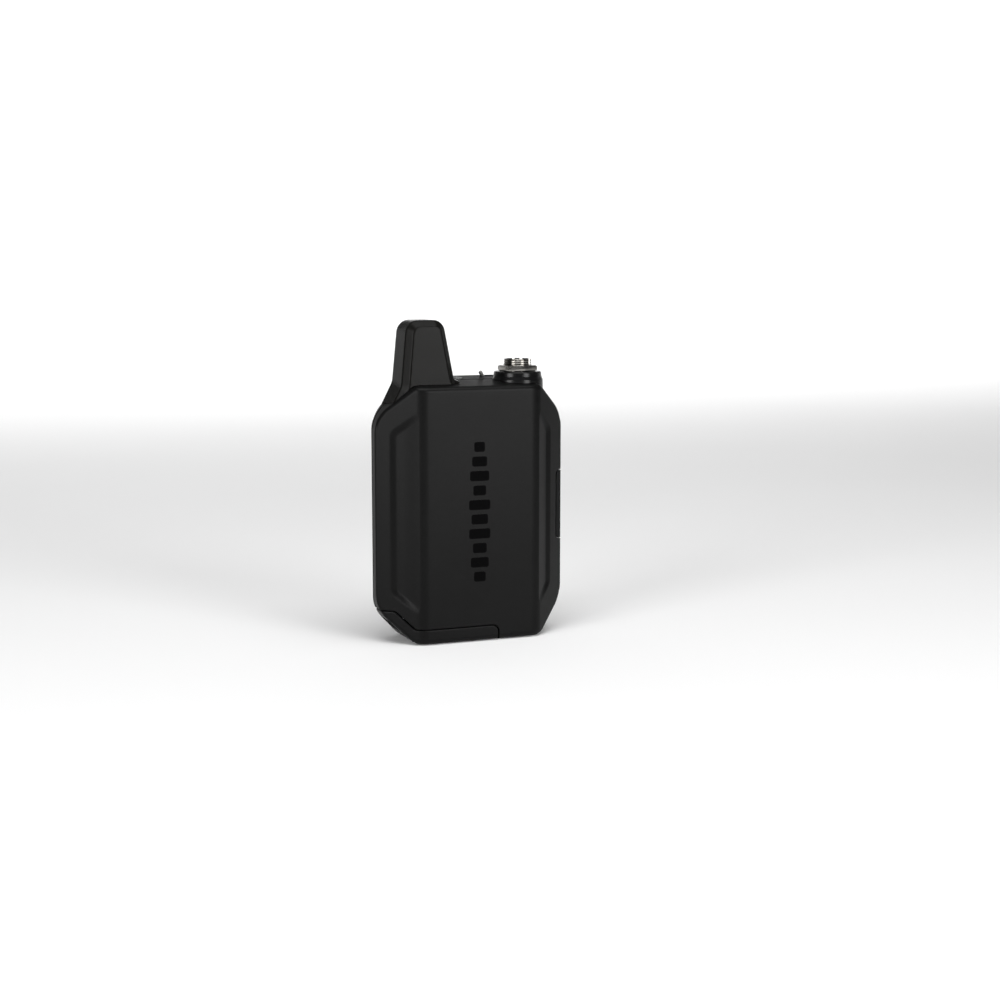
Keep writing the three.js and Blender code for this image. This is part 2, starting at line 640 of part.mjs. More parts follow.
// ---------- belt clip ----------
// Straight runs between the given points, joined by smooth bends.
function bentPath(points, bend) {
  const path = new THREE.CurvePath();
  let last = points[0];
  points.slice(1, -1).forEach((corner, i) => {
    const next = points[i + 2];
    const reach = Math.min(bend, corner.distanceTo(last) * 0.45, corner.distanceTo(next) * 0.45);
    const entry = corner.clone().lerp(last, reach / corner.distanceTo(last));
    const exit = corner.clone().lerp(next, reach / corner.distanceTo(next));
    path.add(new THREE.LineCurve3(last, entry));
    path.add(new THREE.QuadraticBezierCurve3(entry, corner, exit));
    last = exit;
  });
  path.add(new THREE.LineCurve3(last, points.at(-1)));
  return path;
}

const clipHalf = [
  [CLIP.ear + 0.3, CLIP.pivotY, CLIP.pivotZ],
  [CLIP.leg, CLIP.pivotY, CLIP.pivotZ],
  [CLIP.leg, CLIP.out, CLIP.pivotZ - 6],
  [CLIP.leg - 0.6, CLIP.out, 34],
  [CLIP.leg - 2.6, 13.3, 25],
  [CLIP.leg - 3.6, 15.2, 17.5],
];
const clipPoints = [...clipHalf, ...clipHalf.map(([x, y, z]) => [-x, y, z]).reverse()].map(
  (point) => new THREE.Vector3(...point),
);
const wireSection = new THREE.Shape(
  [...Array(8).keys()].map((k) => {
    const angle = (k / 8) * 2 * Math.PI;
    return new THREE.Vector2(CLIP.wire * Math.cos(angle), CLIP.wire * Math.sin(angle));
  }),
);
const clipWire = new THREE.ExtrudeGeometry(wireSection, {
  steps: 110,
  extrudePath: bentPath(clipPoints, 3.2),
});
addPart("belt_clip", clipWire, "steel");

export default transmitter;
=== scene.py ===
"""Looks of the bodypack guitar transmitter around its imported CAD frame, worked out in millimetres."""
import math

import bpy
import numpy as np
from mathutils import Matrix, Vector


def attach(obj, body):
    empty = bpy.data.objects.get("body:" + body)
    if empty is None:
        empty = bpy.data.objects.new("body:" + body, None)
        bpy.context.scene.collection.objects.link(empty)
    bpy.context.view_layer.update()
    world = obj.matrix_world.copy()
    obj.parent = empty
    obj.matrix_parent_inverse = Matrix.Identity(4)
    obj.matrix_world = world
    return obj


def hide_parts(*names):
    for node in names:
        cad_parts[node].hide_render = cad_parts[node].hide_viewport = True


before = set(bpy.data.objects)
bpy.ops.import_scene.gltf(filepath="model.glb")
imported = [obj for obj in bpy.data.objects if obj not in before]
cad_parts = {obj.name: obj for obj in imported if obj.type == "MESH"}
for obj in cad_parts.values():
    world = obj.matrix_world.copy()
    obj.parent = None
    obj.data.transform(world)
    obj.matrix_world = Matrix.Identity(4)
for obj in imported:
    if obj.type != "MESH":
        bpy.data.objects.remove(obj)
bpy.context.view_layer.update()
MM = 0.001

# ---------- the case's dimensions, as in the CAD ----------
HALF_WIDTH, FRONT, BACK, HEIGHT = 33.5, -11.5, 11.5, 86.6
SLOPE = 0.118
WALL, GAP, PARTING = 1.6, 0.3, 1.8
EDGE = 1.8
PLATEAU, FLANK_END, SIDE_BACK, REAR_FLAT = 20.4, -1.4, 3.2, 20.0
FLANK_ANGLE = math.atan2(FLANK_END - FRONT, HALF_WIDTH - PLATEAU)
FOOT, LOW_CORNER, HIGH_CORNER, CROWN_ROUND = 22.4, 11.1, 75.2, 3.5
CROWN_X, CROWN_Z, SHOULDER = 14.7, 92.1, 88.3
POCKET_DEPTH, POCKET_SOFT, POCKET_MIDDLE, POCKET_FADE, POCKET_BACK = 0.62, 1.3, 20.0, 6.0, 2.0
POCKET_LOW, POCKET_BEND, POCKET_TURN, POCKET_HIGH = 11.5, 17.2, 70.0, 75.8
SECTION = [(0, FRONT, 0), (PLATEAU, FRONT, 7), (HALF_WIDTH, FLANK_END, 1),
           (HALF_WIDTH, SIDE_BACK, 2), (REAR_FLAT, BACK, 4), (0, BACK, 0)]
OUTLINE = [(0, 0, 0), (FOOT, 0, 5), (HALF_WIDTH, LOW_CORNER, 12),
           (HALF_WIDTH, HIGH_CORNER, 12), (CROWN_X, CROWN_Z, 0)]
POCKETS = [[(12, POCKET_LOW, 0), (start, POCKET_LOW, 2), (edge, POCKET_BEND, 3), (edge, POCKET_TURN, 3),
            (start, POCKET_HIGH, 2), (12, POCKET_HIGH, 0)] for start, edge in ((21.8, 28.5), (21.1, 26.5))]
DOOR_END, DOOR_STRIP, DOOR_HIGH = 6.3, 4.9, 10.85
DOOR = [(-36, -3, 0), (DOOR_END, -3, 0), (DOOR_END, DOOR_STRIP, 2.2), (-22.6, DOOR_STRIP, 2),
        (-28.2, DOOR_HIGH, 2), (-36, DOOR_HIGH, 0)]
HINGE_X, HINGE_Z, HINGE_BARREL, HINGE_BORE = 5.15, 1.15, 1.15, 0.56
LUG_NEAR, LUG_FAR, LUG_RADIUS = 7.4, 9.4, 1.0
PANEL_INNER, PANEL_LOW, PANEL_HIGH, PANEL_BACKING = 30.95, 31.8, 55.1, 30.1
USB_Y, USB_Z, USB_DEEP, USB_WIDE, USB_MOUTH, USB_REAR = 0.9, 49.5, 2.4, 6.8, 33.0, 25.0
LINK_Y, LINK_Z, LINK_WIDE, LINK_TALL, LINK_FACE = 0.9, 38.8, 2.8, 5.6, 33.25
CONNECTOR_X, COLLAR_TOP, COLLAR_RADIUS, COLLAR_FOOT = 17.8, 89.4, 8.05, 8.65
BARREL_RADIUS, BARREL_RIM = 4.7, 93.6
TOGGLE = (9.5, 7.9, 85.2)
LENS_X, LENS_Y, LENS_RADIUS, LENS_PROUD = -2.3, 4.8, 1.9, 0.25
CASE_SCREWS = [(-13.5, 64), (13.5, 64), (16, 11)]
BOARD_SCREWS = [(-24.2, 34), (23.8, 25)]
ANTENNA = [(-29.5, 78, 0), (-4.9, 78, 0), (-4.9, 87.2, 0), (-6.9, 87.8, 1.8), (-10.8, 107, 4),
           (-23.4, 107, 4.5), (-25.4, 86, 6)]
CLIP_WIRE, CLIP_PIVOT_Y, CLIP_PIVOT_Z, CLIP_EAR, CLIP_EAR_END = 1.0, 15.6, 72, 12.2, 14.8


# ---------- distance fields ----------
def chain_distance(u, v, chain, inset=0.0):
    """Distance and gradient of an open, convex, anticlockwise chain of corners (u, v, radius)."""
    sides = []
    for (ax, ay, _), (bx, by, _) in zip(chain, chain[1:]):
        length = math.hypot(bx - ax, by - ay)
        sides.append((ax, ay, (by - ay) / length, (ax - bx) / length))
    best = np.full(u.shape, -1e9)
    gu, gv = np.zeros(u.shape), np.zeros(u.shape)
    for ax, ay, nu, nv in sides:
        d = (u - ax) * nu + (v - ay) * nv + inset
        better = d > best
        best = np.where(better, d, best)
        gu, gv = np.where(better, nu, gu), np.where(better, nv, gv)
    for (ax, ay, au, av), (bx, by, bu, bv), (cx, cy, radius) in zip(sides, sides[1:], chain[1:-1]):
        r = max(radius - inset, 0.15)
        reach = (r + inset) / (1 + au * bu + av * bv)
        wu, wv = u - cx + (au + bu) * reach, v - cy + (av + bv) * reach
        inside = (au * wv - av * wu > 0) & (wu * bv - wv * bu > 0) & (wu * (au + bu) + wv * (av + bv) > 0)
        size = np.sqrt(wu * wu + wv * wv) + 1e-9
        best = np.where(inside, size - r, best)
        gu, gv = np.where(inside, wu / size, gu), np.where(inside, wv / size, gv)
    return best, gu, gv


def fillet(a, ga, b, gb, radius):
    """The common part of two fields, with the edge between them rounded. Gradients are (3, n) arrays."""
    c = np.clip((ga * gb).sum(0), -0.99, 0.99999)
    pa, pb = a + radius, b + radius
    rest = 1 - c * c
    inside = (pa - c * pb > 0) & (pb - c * pa > 0)
    size = np.sqrt(np.maximum(pa * pa + pb * pb - 2 * c * pa * pb, 0) / rest + 1e-12)
    d = np.where(inside, size - radius, np.maximum(a, b))
    wa = np.where(inside, (pa - c * pb) / rest / size, (a >= b) * 1.0)
    wb = np.where(inside, (pb - c * pa) / rest / size, (a < b) * 1.0)
    return d, ga * wa + gb * wb


def smooth_step(t):
    t = np.clip(t, 0, 1)
    return t * t * (3 - 2 * t)


def case_field(p, inset=0.0, pockets=True):
    """Distance to the case's outer form at points p (3, n), in millimetres, and its gradient."""
    x, y, z = p
    side = np.where(x < 0, -1.0, 1.0)
    s, su, sv = chain_distance(np.abs(x), y, SECTION, inset)
    o, ou, ov = chain_distance(np.abs(x), z, OUTLINE, inset)
    secant = math.hypot(1, SLOPE)
    t = (z - HEIGHT - SLOPE * y) / secant + inset
    gs = np.stack([su * side, sv, 0 * x])
    go = np.stack([ou * side, 0 * x, ov])
    gt = np.stack([0 * x, 0 * x - SLOPE / secant, 0 * x + 1 / secant])
    o, go = fillet(o, go, t, gt, max(CROWN_ROUND - inset, 0.4))
    go = go / np.sqrt((go * go).sum(0))
    d, g = fillet(s, gs, o, go, max(EDGE - inset, 0.4))
    if pockets:
        left, right = (chain_distance(np.abs(x), z, chain)[0] for chain in POCKETS)
        share = smooth_step(0.5 - np.where(x < 0, left, right) / (2 * POCKET_SOFT))
        share = share * smooth_step((np.abs(x) - POCKET_MIDDLE) / POCKET_FADE)
        flank = (np.abs(x) - PLATEAU) * math.sin(FLANK_ANGLE) - (y - FRONT) * math.cos(FLANK_ANGLE) + inset
        floor = flank + POCKET_DEPTH * share
        d = np.where((share > 0) & (y < POCKET_BACK), np.maximum(d, floor), d)
    return d, g


def polygon_distance(u, v, points):
    """Signed distance to a closed polygon, with its gradient."""
    best = np.full(u.shape, 1e9)
    gu, gv = np.zeros(u.shape), np.zeros(u.shape)
    inside = np.zeros(u.shape, bool)
    for (ax, ay), (bx, by) in zip(points, np.roll(points, -1, axis=0)):
        ex, ey = bx - ax, by - ay
        wx, wy = u - ax, v - ay
        t = np.clip((wx * ex + wy * ey) / (ex * ex + ey * ey), 0, 1)
        dx, dy = wx - ex * t, wy - ey * t
        d = np.sqrt(dx * dx + dy * dy) + 1e-9
        better = d < best
        best = np.where(better, d, best)
        gu, gv = np.where(better, dx / d, gu), np.where(better, dy / d, gv)
        crosses = ((ay > v) != (by > v)) & (u < ex * (v - ay) / (ey + 1e-12 * (ey == 0)) + ax)
        inside ^= crosses
    sign = np.where(inside, -1.0, 1.0)
    return best * sign, gu * sign, gv * sign


def rounded(corners, steps=10):
    """A closed polygon of corners (x, y, radius) with arcs, as an (n, 2) array."""
    points = []
    for i, (x, y, radius) in enumerate(corners):
        if radius <= 0:
            points.append((x, y))
            continue
        here = Vector((x, y))
        before = (Vector(corners[i - 1][:2]) - here).normalized()
        after = (Vector(corners[(i + 1) % len(corners)][:2]) - here).normalized()
        half = math.acos(max(-1, min(1, before.dot(after)))) / 2
        centre = here + (before + after).normalized() * (radius / math.sin(half))
        start = here + before * (radius / math.tan(half)) - centre
        sweep = (math.pi - 2 * half) * (1 if after.cross(before) > 0 else -1)
        for k in range(steps + 1):
            turn = Matrix.Rotation(sweep * k / steps, 2)
            points.append(tuple(turn @ start + centre))
    return np.array(points)


def grown(corners, amount):
    """The polygon moved outwards by an amount, with its corner radii following."""
    made = []
    for i, (x, y, radius) in enumerate(corners):
        px, py, _ = corners[i - 1]
        nx, ny, _ = corners[(i + 1) % len(corners)]
        a = Vector((y - py, px - x)).normalized()
        b = Vector((ny - y, x - nx)).normalized()
        k = amount / (1 + a.dot(b))
        convex = (x - px) * (ny - y) - (y - py) * (nx - x) > 0
        if radius:
            radius = max(0.15, radius + (amount if convex else -amount))
        made.append((x + (a.x + b.x) * k, y + (a.y + b.y) * k, radius))
    return made


def rectangle(x0, x1, y0, y1, radius=0.0):
    return [(x0, y0, radius), (x1, y0, radius), (x1, y1, radius), (x0, y1, radius)]


def surface_net(field, low, high, step, rounds=4):
    """A closed quad mesh on the zero level of a field, each vertex moved onto that level."""
    axes = [np.arange(lo - 1.5 * step, hi + 1.5 * step, step) for lo, hi in zip(low, high)]
    grid = np.stack(np.meshgrid(*axes, indexing="ij"))
    shape = grid.shape[1:]
    values = field(grid.reshape(3, -1))[0].reshape(shape)
    solid = values < 0
    total = np.zeros([n - 1 for n in shape] + [3])
    count = np.zeros([n - 1 for n in shape])
    edges = []
    for axis in range(3):
        head = [slice(None)] * 3
        tail = [slice(None)] * 3
        head[axis], tail[axis] = slice(1, None), slice(None, -1)
        a, b = values[tuple(tail)], values[tuple(head)]
        crossing = np.argwhere((a < 0) != (b < 0))
        at = tuple(crossing.T)
        t = a[at] / (a[at] - b[at])
        point = grid[(slice(None), *at)].T.copy()
        point[:, axis] += t * step
        edges.append((axis, crossing, solid[at]))
        others = [k for k in range(3) if k != axis]
        for du in (0, 1):
            for dv in (0, 1):
                cell = crossing.copy()
                cell[:, others[0]] -= du
                cell[:, others[1]] -= dv
                np.add.at(total, tuple(cell.T), point)
                np.add.at(count, tuple(cell.T), 1)
    used = count > 0
    number = np.full(count.shape, -1)
    number[used] = np.arange(used.sum())
    vertices = total[used] / count[used][:, None]
    quads = []
    for axis, crossing, inner in edges:
        u, v = (axis + 1) % 3, (axis + 2) % 3
        ring = []
        for du, dv in ((1, 1), (0, 1), (0, 0), (1, 0)):
            cell = crossing.copy()
            cell[:, u] -= du
            cell[:, v] -= dv
            ring.append(number[tuple(cell.T)])
        ring = np.stack(ring, 1)
        quads.append(np.where(inner[:, None], ring, ring[:, ::-1]))
    for _ in range(rounds):
        d = field(vertices.T)[0]
        vertices -= np.clip(d, -step, step)[:, None] * measured_gradient(field, vertices)
    return vertices, np.concatenate(quads)


def measured_gradient(field, vertices, reach=0.02):
    """Unit gradient of a field at (n, 3) points, from its values a short reach to either side."""
    g = np.empty_like(vertices)
    for axis in range(3):
        shift = np.zeros(3)
        shift[axis] = reach
        ahead, behind = field((vertices + shift).T)[0], field((vertices - shift).T)[0]
        g[:, axis] = (ahead - behind) / (2 * reach)
    return g / np.maximum(np.linalg.norm(g, axis=1), 1e-6)[:, None]


# ---------- meshes ----------
def new_object(name, mesh):
    made = bpy.data.objects.new(name, mesh)
    bpy.context.scene.collection.objects.link(made)
    return made


def from_arrays(name, vertices, faces):
    """An object from points in millimetres."""
    mesh = bpy.data.meshes.new(name)
    mesh.from_pydata((np.asarray(vertices, float) * MM).tolist(), [], [list(map(int, f)) for f in faces])
    mesh.validate()
    return new_object(name, mesh)


def net_object(name, field, low, high, step):
    vertices, quads = surface_net(field, low, high, step)
    return from_arrays(name, vertices, quads)


def prism(name, points, start, end, axis="y"):
    """An anticlockwise polygon extruded along an axis: points (x, z) for y, (x, y) for z, (y, z) for x."""
    n = len(points)
    rings = []
    for along in (start, end):
        for u, v in points:
            rings.append({"y": (u, along, v), "z": (u, v, along), "x": (along, u, v)}[axis])
    faces = [list(range(n))[::-1], [n + i for i in range(n)]]
    faces += [[i, (i + 1) % n, n + (i + 1) % n, n + i] for i in range(n)]
    if axis == "y":
        faces = [f[::-1] for f in faces]
    return from_arrays(name, rings, faces)


def turned(name, profile, x, y, sides=96, axis="z", closed=True):
    """A profile of (radius, height) points turned about an axis. A closed profile doesn't touch the axis."""
    n = len(profile)
    vertices, faces = [], []
    for k in range(sides):
        a = 2 * math.pi * k / sides
        for r, h in profile:
            u, v = r * math.cos(a), r * math.sin(a)
            vertices.append({"z": (x + u, y + v, h), "y": (x + u, h, y - v), "x": (h, x + u, y + v)}[axis])
    last = n if closed else n - 1
    for k in range(sides):
        a, b = k * n, (k + 1) % sides * n
        faces += [[a + i, b + i, b + (i + 1) % n, a + (i + 1) % n] for i in range(last)]
    if not closed:
        faces.append([k * n for k in range(sides)][::-1])
        faces.append([k * n + n - 1 for k in range(sides)])
    return from_arrays(name, vertices, faces)


def rod(name, radius, start, end, u, v, axis="z", sides=48):
    return turned(name, [(radius, start), (radius, end)], u, v, sides, axis, closed=False)


def block(name, x, y, z):
    return prism(name, rounded(rectangle(*x, *y)), z[0], z[1], "z")


def settle(piece):
    """Applies a piece's modifiers to its mesh."""
    depsgraph = bpy.context.evaluated_depsgraph_get()
    mesh = bpy.data.meshes.new_from_object(piece.evaluated_get(depsgraph))
    piece.modifiers.clear()
    piece.data = mesh
    return piece


def combine(piece, operation, tools, keep=False):
    """Boolean of a piece with each tool in turn."""
    for tool in tools:
        step = piece.modifiers.new("boolean", "BOOLEAN")
        step.operation, step.object, step.solver = operation, tool, "MANIFOLD"
        settle(piece)
        if not keep:
            bpy.data.objects.remove(tool)
    return piece


def soften(piece, width, segments=3, angle=40):
    """Rounds the piece's edges by a width in millimetres."""
    step = piece.modifiers.new("bevel", "BEVEL")
    step.width, step.segments = width * MM, segments
    step.limit_method, step.angle_limit = "ANGLE", math.radians(angle)
    step.harden_normals = False
    return settle(piece)


def smooth(piece, angle=35):
    mesh = piece.data
    mesh.shade_smooth()
    mesh.set_sharp_from_angle(angle=math.radians(angle))
    return piece


def field_normals(piece, field, angle=35, close=0.02):
    """Smooth shading that follows a distance field where the mesh lies on its surface."""
    smooth(piece, angle)
    mesh = piece.data
    count = len(mesh.vertices)
    co = np.empty(count * 3)
    mesh.vertices.foreach_get("co", co)
    co = co.reshape(-1, 3) / MM
    on = np.abs(field(co.T)[0]) < close
    g = np.zeros((count, 3))
    g[on] = measured_gradient(field, co[on])
    vertex = np.empty(len(mesh.loops), int)
    mesh.loops.foreach_get("vertex_index", vertex)
    face = np.repeat(np.arange(len(mesh.polygons)), [p.loop_total for p in mesh.polygons])
    normal = np.empty(len(mesh.polygons) * 3)
    mesh.polygons.foreach_get("normal", normal)
    normal = normal.reshape(-1, 3)[face]
    wanted = g[vertex]
    wanted[(wanted * normal).sum(1) < math.cos(math.radians(angle))] = 0
    mesh.normals_split_custom_set(wanted.tolist())
    return piece


def tube(name, points, radius, sides=16, cap=0.35):
    """A round wire along points, with softened ends."""
    points = np.asarray(points, float)
    tangents = np.gradient(points, axis=0)
    tangents /= np.linalg.norm(tangents, axis=1)[:, None]
    side = np.cross(tangents[0], (0.3, 1, 0.2))
    side /= np.linalg.norm(side)
    rings = []
    for k, (point, tangent) in enumerate(zip(points, tangents)):
        side = side - tangent * (side @ tangent)
        side /= np.linalg.norm(side)
        up = np.cross(tangent, side)
        rings.append((point, side.copy(), up, radius))
    ends = []
    for index, direction in ((0, -1), (-1, 1)):
        point, side, up, _ = rings[index]
        tangent = tangents[index] * direction
        ends.append([(point + tangent * cap * math.sin(a), side, up, radius - cap * (1 - math.cos(a)))
                     for a in (math.pi / 6, math.pi / 3, math.pi / 2)])
    rings = ends[0][::-1] + rings + ends[1]
    vertices, faces = [], []
    for point, side, up, r in rings:
        for k in range(sides):
            a = 2 * math.pi * k / sides
            vertices.append(point + side * r * math.cos(a) + up * r * math.sin(a))
    for i in range(len(rings) - 1):
        for k in range(sides):
            m = (k + 1) % sides
            faces.append([i * sides + k, i * sides + m, (i + 1) * sides + m, (i + 1) * sides + k])
    faces.append(list(range(sides))[::-1])
    faces.append([(len(rings) - 1) * sides + k for k in range(sides)])
    return from_arrays(name, vertices, faces)


# ---------- materials ----------
GRAIN_SHARE, PEEL_SCALE, CLEAR_COAT_ROUGHNESS = 0.35, 620, 0.08
TRACK_SCALE, TRACK_DEPTH = 420, 2e-5


def graph(name):
    material = bpy.data.materials.new(name)
    material.use_nodes = True
    tree = material.node_tree
    tree.nodes.clear()
    output = tree.nodes.new("ShaderNodeOutputMaterial")
    shader = tree.nodes.new("ShaderNodeBsdfPrincipled")
    tree.links.new(shader.outputs[0], output.inputs[0])
    return material, tree, shader


def noise(tree, scale, detail=3.0, stretch=(1, 1, 1)):
    """Noise over the object's own coordinates; the scale is in features per metre."""
    place = tree.nodes.new("ShaderNodeTexCoord")
    mapping = tree.nodes.new("ShaderNodeMapping")
    mapping.inputs["Scale"].default_value = stretch
    texture = tree.nodes.new("ShaderNodeTexNoise")
    texture.inputs["Scale"].default_value = scale
    texture.inputs["Detail"].default_value = detail
    tree.links.new(place.outputs["Object"], mapping.inputs["Vector"])
    tree.links.new(mapping.outputs[0], texture.inputs["Vector"])
    return texture.outputs["Fac"]


def spread(tree, value, low, high, start=0.3, end=0.7):
    node = tree.nodes.new("ShaderNodeMapRange")
    node.inputs["From Min"].default_value, node.inputs["From Max"].default_value = start, end
    node.inputs["To Min"].default_value, node.inputs["To Max"].default_value = low, high
    tree.links.new(value, node.inputs["Value"])
    return node.outputs[0]


def tint(tree, value, dark, light):
    node = tree.nodes.new("ShaderNodeMix")
    node.data_type = "RGBA"
    node.inputs["A"].default_value = (*dark, 1)
    node.inputs["B"].default_value = (*light, 1)
    tree.links.new(value, node.inputs["Factor"])
    return node.outputs["Result"]


def bump(tree, shader, heights):
    """Chains bumps of (value, depth in metres)."""
    last = None
    for value, depth in heights:
        node = tree.nodes.new("ShaderNodeBump")
        node.inputs["Distance"].default_value = depth
        node.inputs["Strength"].default_value = 1.0
        tree.links.new(value, node.inputs["Height"])
        if last:
            tree.links.new(last, node.inputs["Normal"])
        last = node.outputs[0]
    tree.links.new(last, shader.inputs["Normal"])


def finish_of(name, dark, light, rough, metal=0.0, grain=2600, depth=6e-6, patch=70, peel=0,
              stretch=(1, 1, 1), coat=0.0, specular=0.5):
    """A surface with fine grain, slow colour and gloss changes, and optionally a paint's orange peel.

    Grain and patch are features per metre; depth and peel are bump heights in metres.
    """
    material, tree, shader = graph(name)
    fine = noise(tree, grain, 2.0, stretch)
    slow = noise(tree, patch, 4.0)
    blend = tree.nodes.new("ShaderNodeMath")
    blend.operation = "MULTIPLY_ADD"
    blend.inputs[1].default_value = GRAIN_SHARE
    tree.links.new(fine, blend.inputs[0])
    tree.links.new(spread(tree, slow, 0.0, 1 - GRAIN_SHARE), blend.inputs[2])
    tree.links.new(tint(tree, blend.outputs[0], dark, light), shader.inputs["Base Color"])
    tree.links.new(spread(tree, slow, rough[0], rough[1]), shader.inputs["Roughness"])
    shader.inputs["Metallic"].default_value = metal
    shader.inputs["Specular IOR Level"].default_value = specular
    shader.inputs["Coat Weight"].default_value = coat
    shader.inputs["Coat Roughness"].default_value = CLEAR_COAT_ROUGHNESS
    heights = [(fine, depth)]
    if peel:
        heights.append((noise(tree, PEEL_SCALE, 1.0), peel))
    bump(tree, shader, heights)
    return material


def circuit_material():
    """Green solder mask with fine copper runs underneath and tinned pads."""
    material, tree, shader = graph("circuit_board")
    place = tree.nodes.new("ShaderNodeTexCoord")
    tracks = tree.nodes.new("ShaderNodeTexVoronoi")
    tracks.distance = "MANHATTAN"
    tracks.feature = "F2"
    tracks.inputs["Scale"].default_value = TRACK_SCALE
    tree.links.new(place.outputs["Object"], tracks.inputs["Vector"])
    run = spread(tree, tracks.outputs["Distance"], 0.0, 1.0, 0.48, 0.55)
    tree.links.new(tint(tree, run, (0.006, 0.06, 0.022), (0.02, 0.13, 0.05)), shader.inputs["Base Color"])
    shader.inputs["Roughness"].default_value = 0.35
    bump(tree, shader, [(run, TRACK_DEPTH), (noise(tree, 3000), 3e-6)])
    return material


# Each finish: dark and light colour, range of roughness, then what differs from the defaults of finish_of.
FINISHES = {
    "coat": ((0.0030, 0.0030, 0.0030), (0.0042, 0.0042, 0.0042), (0.33, 0.39),
             dict(grain=3400, depth=3.5e-6, patch=45, peel=9e-6, specular=0.085)),
    "antenna_plastic": ((0.0044, 0.0043, 0.0039), (0.0060, 0.0058, 0.0053), (0.20, 0.26),
                        dict(grain=4200, depth=2.5e-6, patch=60, specular=0.055)),
    "panel_plastic": ((0.0034, 0.0034, 0.0036), (0.0048, 0.0048, 0.005), (0.42, 0.5),
                      dict(grain=3600, specular=0.05)),
    "gloss_black": ((0.003, 0.003, 0.0031), (0.0045, 0.0045, 0.0046), (0.2, 0.28),
                    dict(grain=1500, depth=1.2e-6, patch=90, specular=0.2)),
    "nickel": ((0.24, 0.23, 0.215), (0.34, 0.33, 0.31), (0.12, 0.2),
               dict(metal=1.0, grain=2600, depth=3e-6, patch=260)),
    "screw_steel": ((0.10, 0.10, 0.105), (0.16, 0.16, 0.165), (0.3, 0.42),
                    dict(metal=0.9, grain=2400, depth=5e-6, patch=300)),
    "clip_steel": ((0.008, 0.008, 0.0085), (0.012, 0.012, 0.0125), (0.28, 0.36),
                   dict(metal=0.2, grain=3000, depth=5e-6, peel=6e-6)),
    "contact_gold": ((0.62, 0.42, 0.16), (0.82, 0.60, 0.27), (0.18, 0.3),
                     dict(metal=1.0, grain=2600, depth=3e-6, patch=240)),
    "chip_black": ((0.010, 0.010, 0.011), (0.017, 0.017, 0.018), (0.5, 0.62),
                   dict(grain=5200, depth=9e-6, patch=200)),
    "shield_tin": ((0.52, 0.52, 0.51), (0.66, 0.66, 0.65), (0.28, 0.4),
                   dict(metal=1.0, grain=1400, depth=4e-6, patch=120, stretch=(1, 1, 9))),
    "battery_case": ((0.022, 0.023, 0.026), (0.032, 0.033, 0.037), (0.38, 0.5),
                     dict(grain=2800, depth=6e-6, patch=80)),
    "lever_grey": ((0.20, 0.20, 0.19), (0.30, 0.30, 0.285), (0.26, 0.36),
                   dict(metal=0.6, grain=2600, depth=4e-6, patch=400)),
    "light_pipe": ((0.05, 0.056, 0.052), (0.075, 0.083, 0.077), (0.14, 0.2),
                   dict(grain=1800, depth=2e-6, patch=500, coat=0.4)),
    "led_body": ((0.55, 0.57, 0.5), (0.72, 0.74, 0.66), (0.25, 0.35),
                 dict(grain=3000, depth=2e-6, patch=500)),
    "button_rubber": ((0.009, 0.009, 0.0095), (0.014, 0.014, 0.0145), (0.5, 0.62),
                      dict(grain=5200, depth=8e-6, patch=300)),
}
MATERIALS = {name: finish_of(name, *ranges, **rest) for name, (*ranges, rest) in FINISHES.items()}
MATERIALS["circuit_board"] = circuit_material()
INK = finish_of("front_mark_ink", (0.0008, 0.0008, 0.0009), (0.0014, 0.0014, 0.0015), (0.5, 0.6), grain=5000,
                depth=2e-6, patch=120, specular=0.02)


def dress(piece, slot_name, material=None):
    piece.data.materials.clear()
    piece.data.materials.append(material or MATERIALS[slot_name])
    return piece


def place(piece, body, slot_name, nodes=(), material=None):
    """Puts a finished piece on its body, in its material, and stands it for CAD nodes."""
    dress(piece, slot_name, material)
    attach(piece, body)
    if nodes:
        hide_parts(*nodes)
    return piece


# ---------- the case's forms ----------
CASE_LOW, CASE_HIGH = (-HALF_WIDTH, FRONT, 0), (HALF_WIDTH, BACK, SHOULDER)
REBATE = 0.13
LUG_ROOT = 8.6
FRONT_POST, REAR_POST, BOARD_POST, THREAD_BORE, BOARD_BORE, SCREW_WAY = 2.4, 3.0, 2.0, 1.0, 0.9, 1.2
SCREW_HEAD, SCREW_RIM, SINK_DEPTH = 2.2, 2.5, 1.3
SLOT_LENGTH, SLOT_WIDTH = 5.2, 1.9
LABEL, LABEL_DEPTH = (-11, 11, 36, 62), 0.3
ANTENNA_MOUTH, CONNECTOR_MOUTH = ((-21.8, -11.2), (-3.5, 0.9), (80, 90)), 5.0


def case_net(name, inset, step, pockets=False):
    """The case's outer form, moved inwards by an inset, or outwards if it is negative."""
    spare = max(0.0, -inset)
    low, high = [c - spare for c in CASE_LOW], [c + spare for c in CASE_HIGH]
    return net_object(name, lambda p: case_field(p, inset, pockets), low, high, step)


def copied(piece, name):
    return new_object(name, piece.data.copy())


outer = case_net("outer", 0, 0.5, pockets=True)
cavity = case_net("cavity", WALL, 1.0)
under_coat = case_net("under_coat", WALL - GAP, 1.0)
step_form = case_net("step_form", REBATE, 0.6, pockets=True)
seat = case_net("seat", -0.12, 0.6)
wall = combine(copied(outer, "wall"), "DIFFERENCE", [cavity], keep=True)


def door_prism(amount):
    return prism("door_prism", rounded(grown(DOOR, amount)), FRONT - 1, BACK + 1)


def panel_prism(amount):
    shape = grown([(PANEL_INNER, PANEL_LOW, 1.5), (40, PANEL_LOW, 0), (40, PANEL_HIGH, 0),
                   (PANEL_INNER, PANEL_HIGH, 1.5)], amount)
    return prism("panel_prism", rounded(shape), FRONT - 1, BACK + 1)


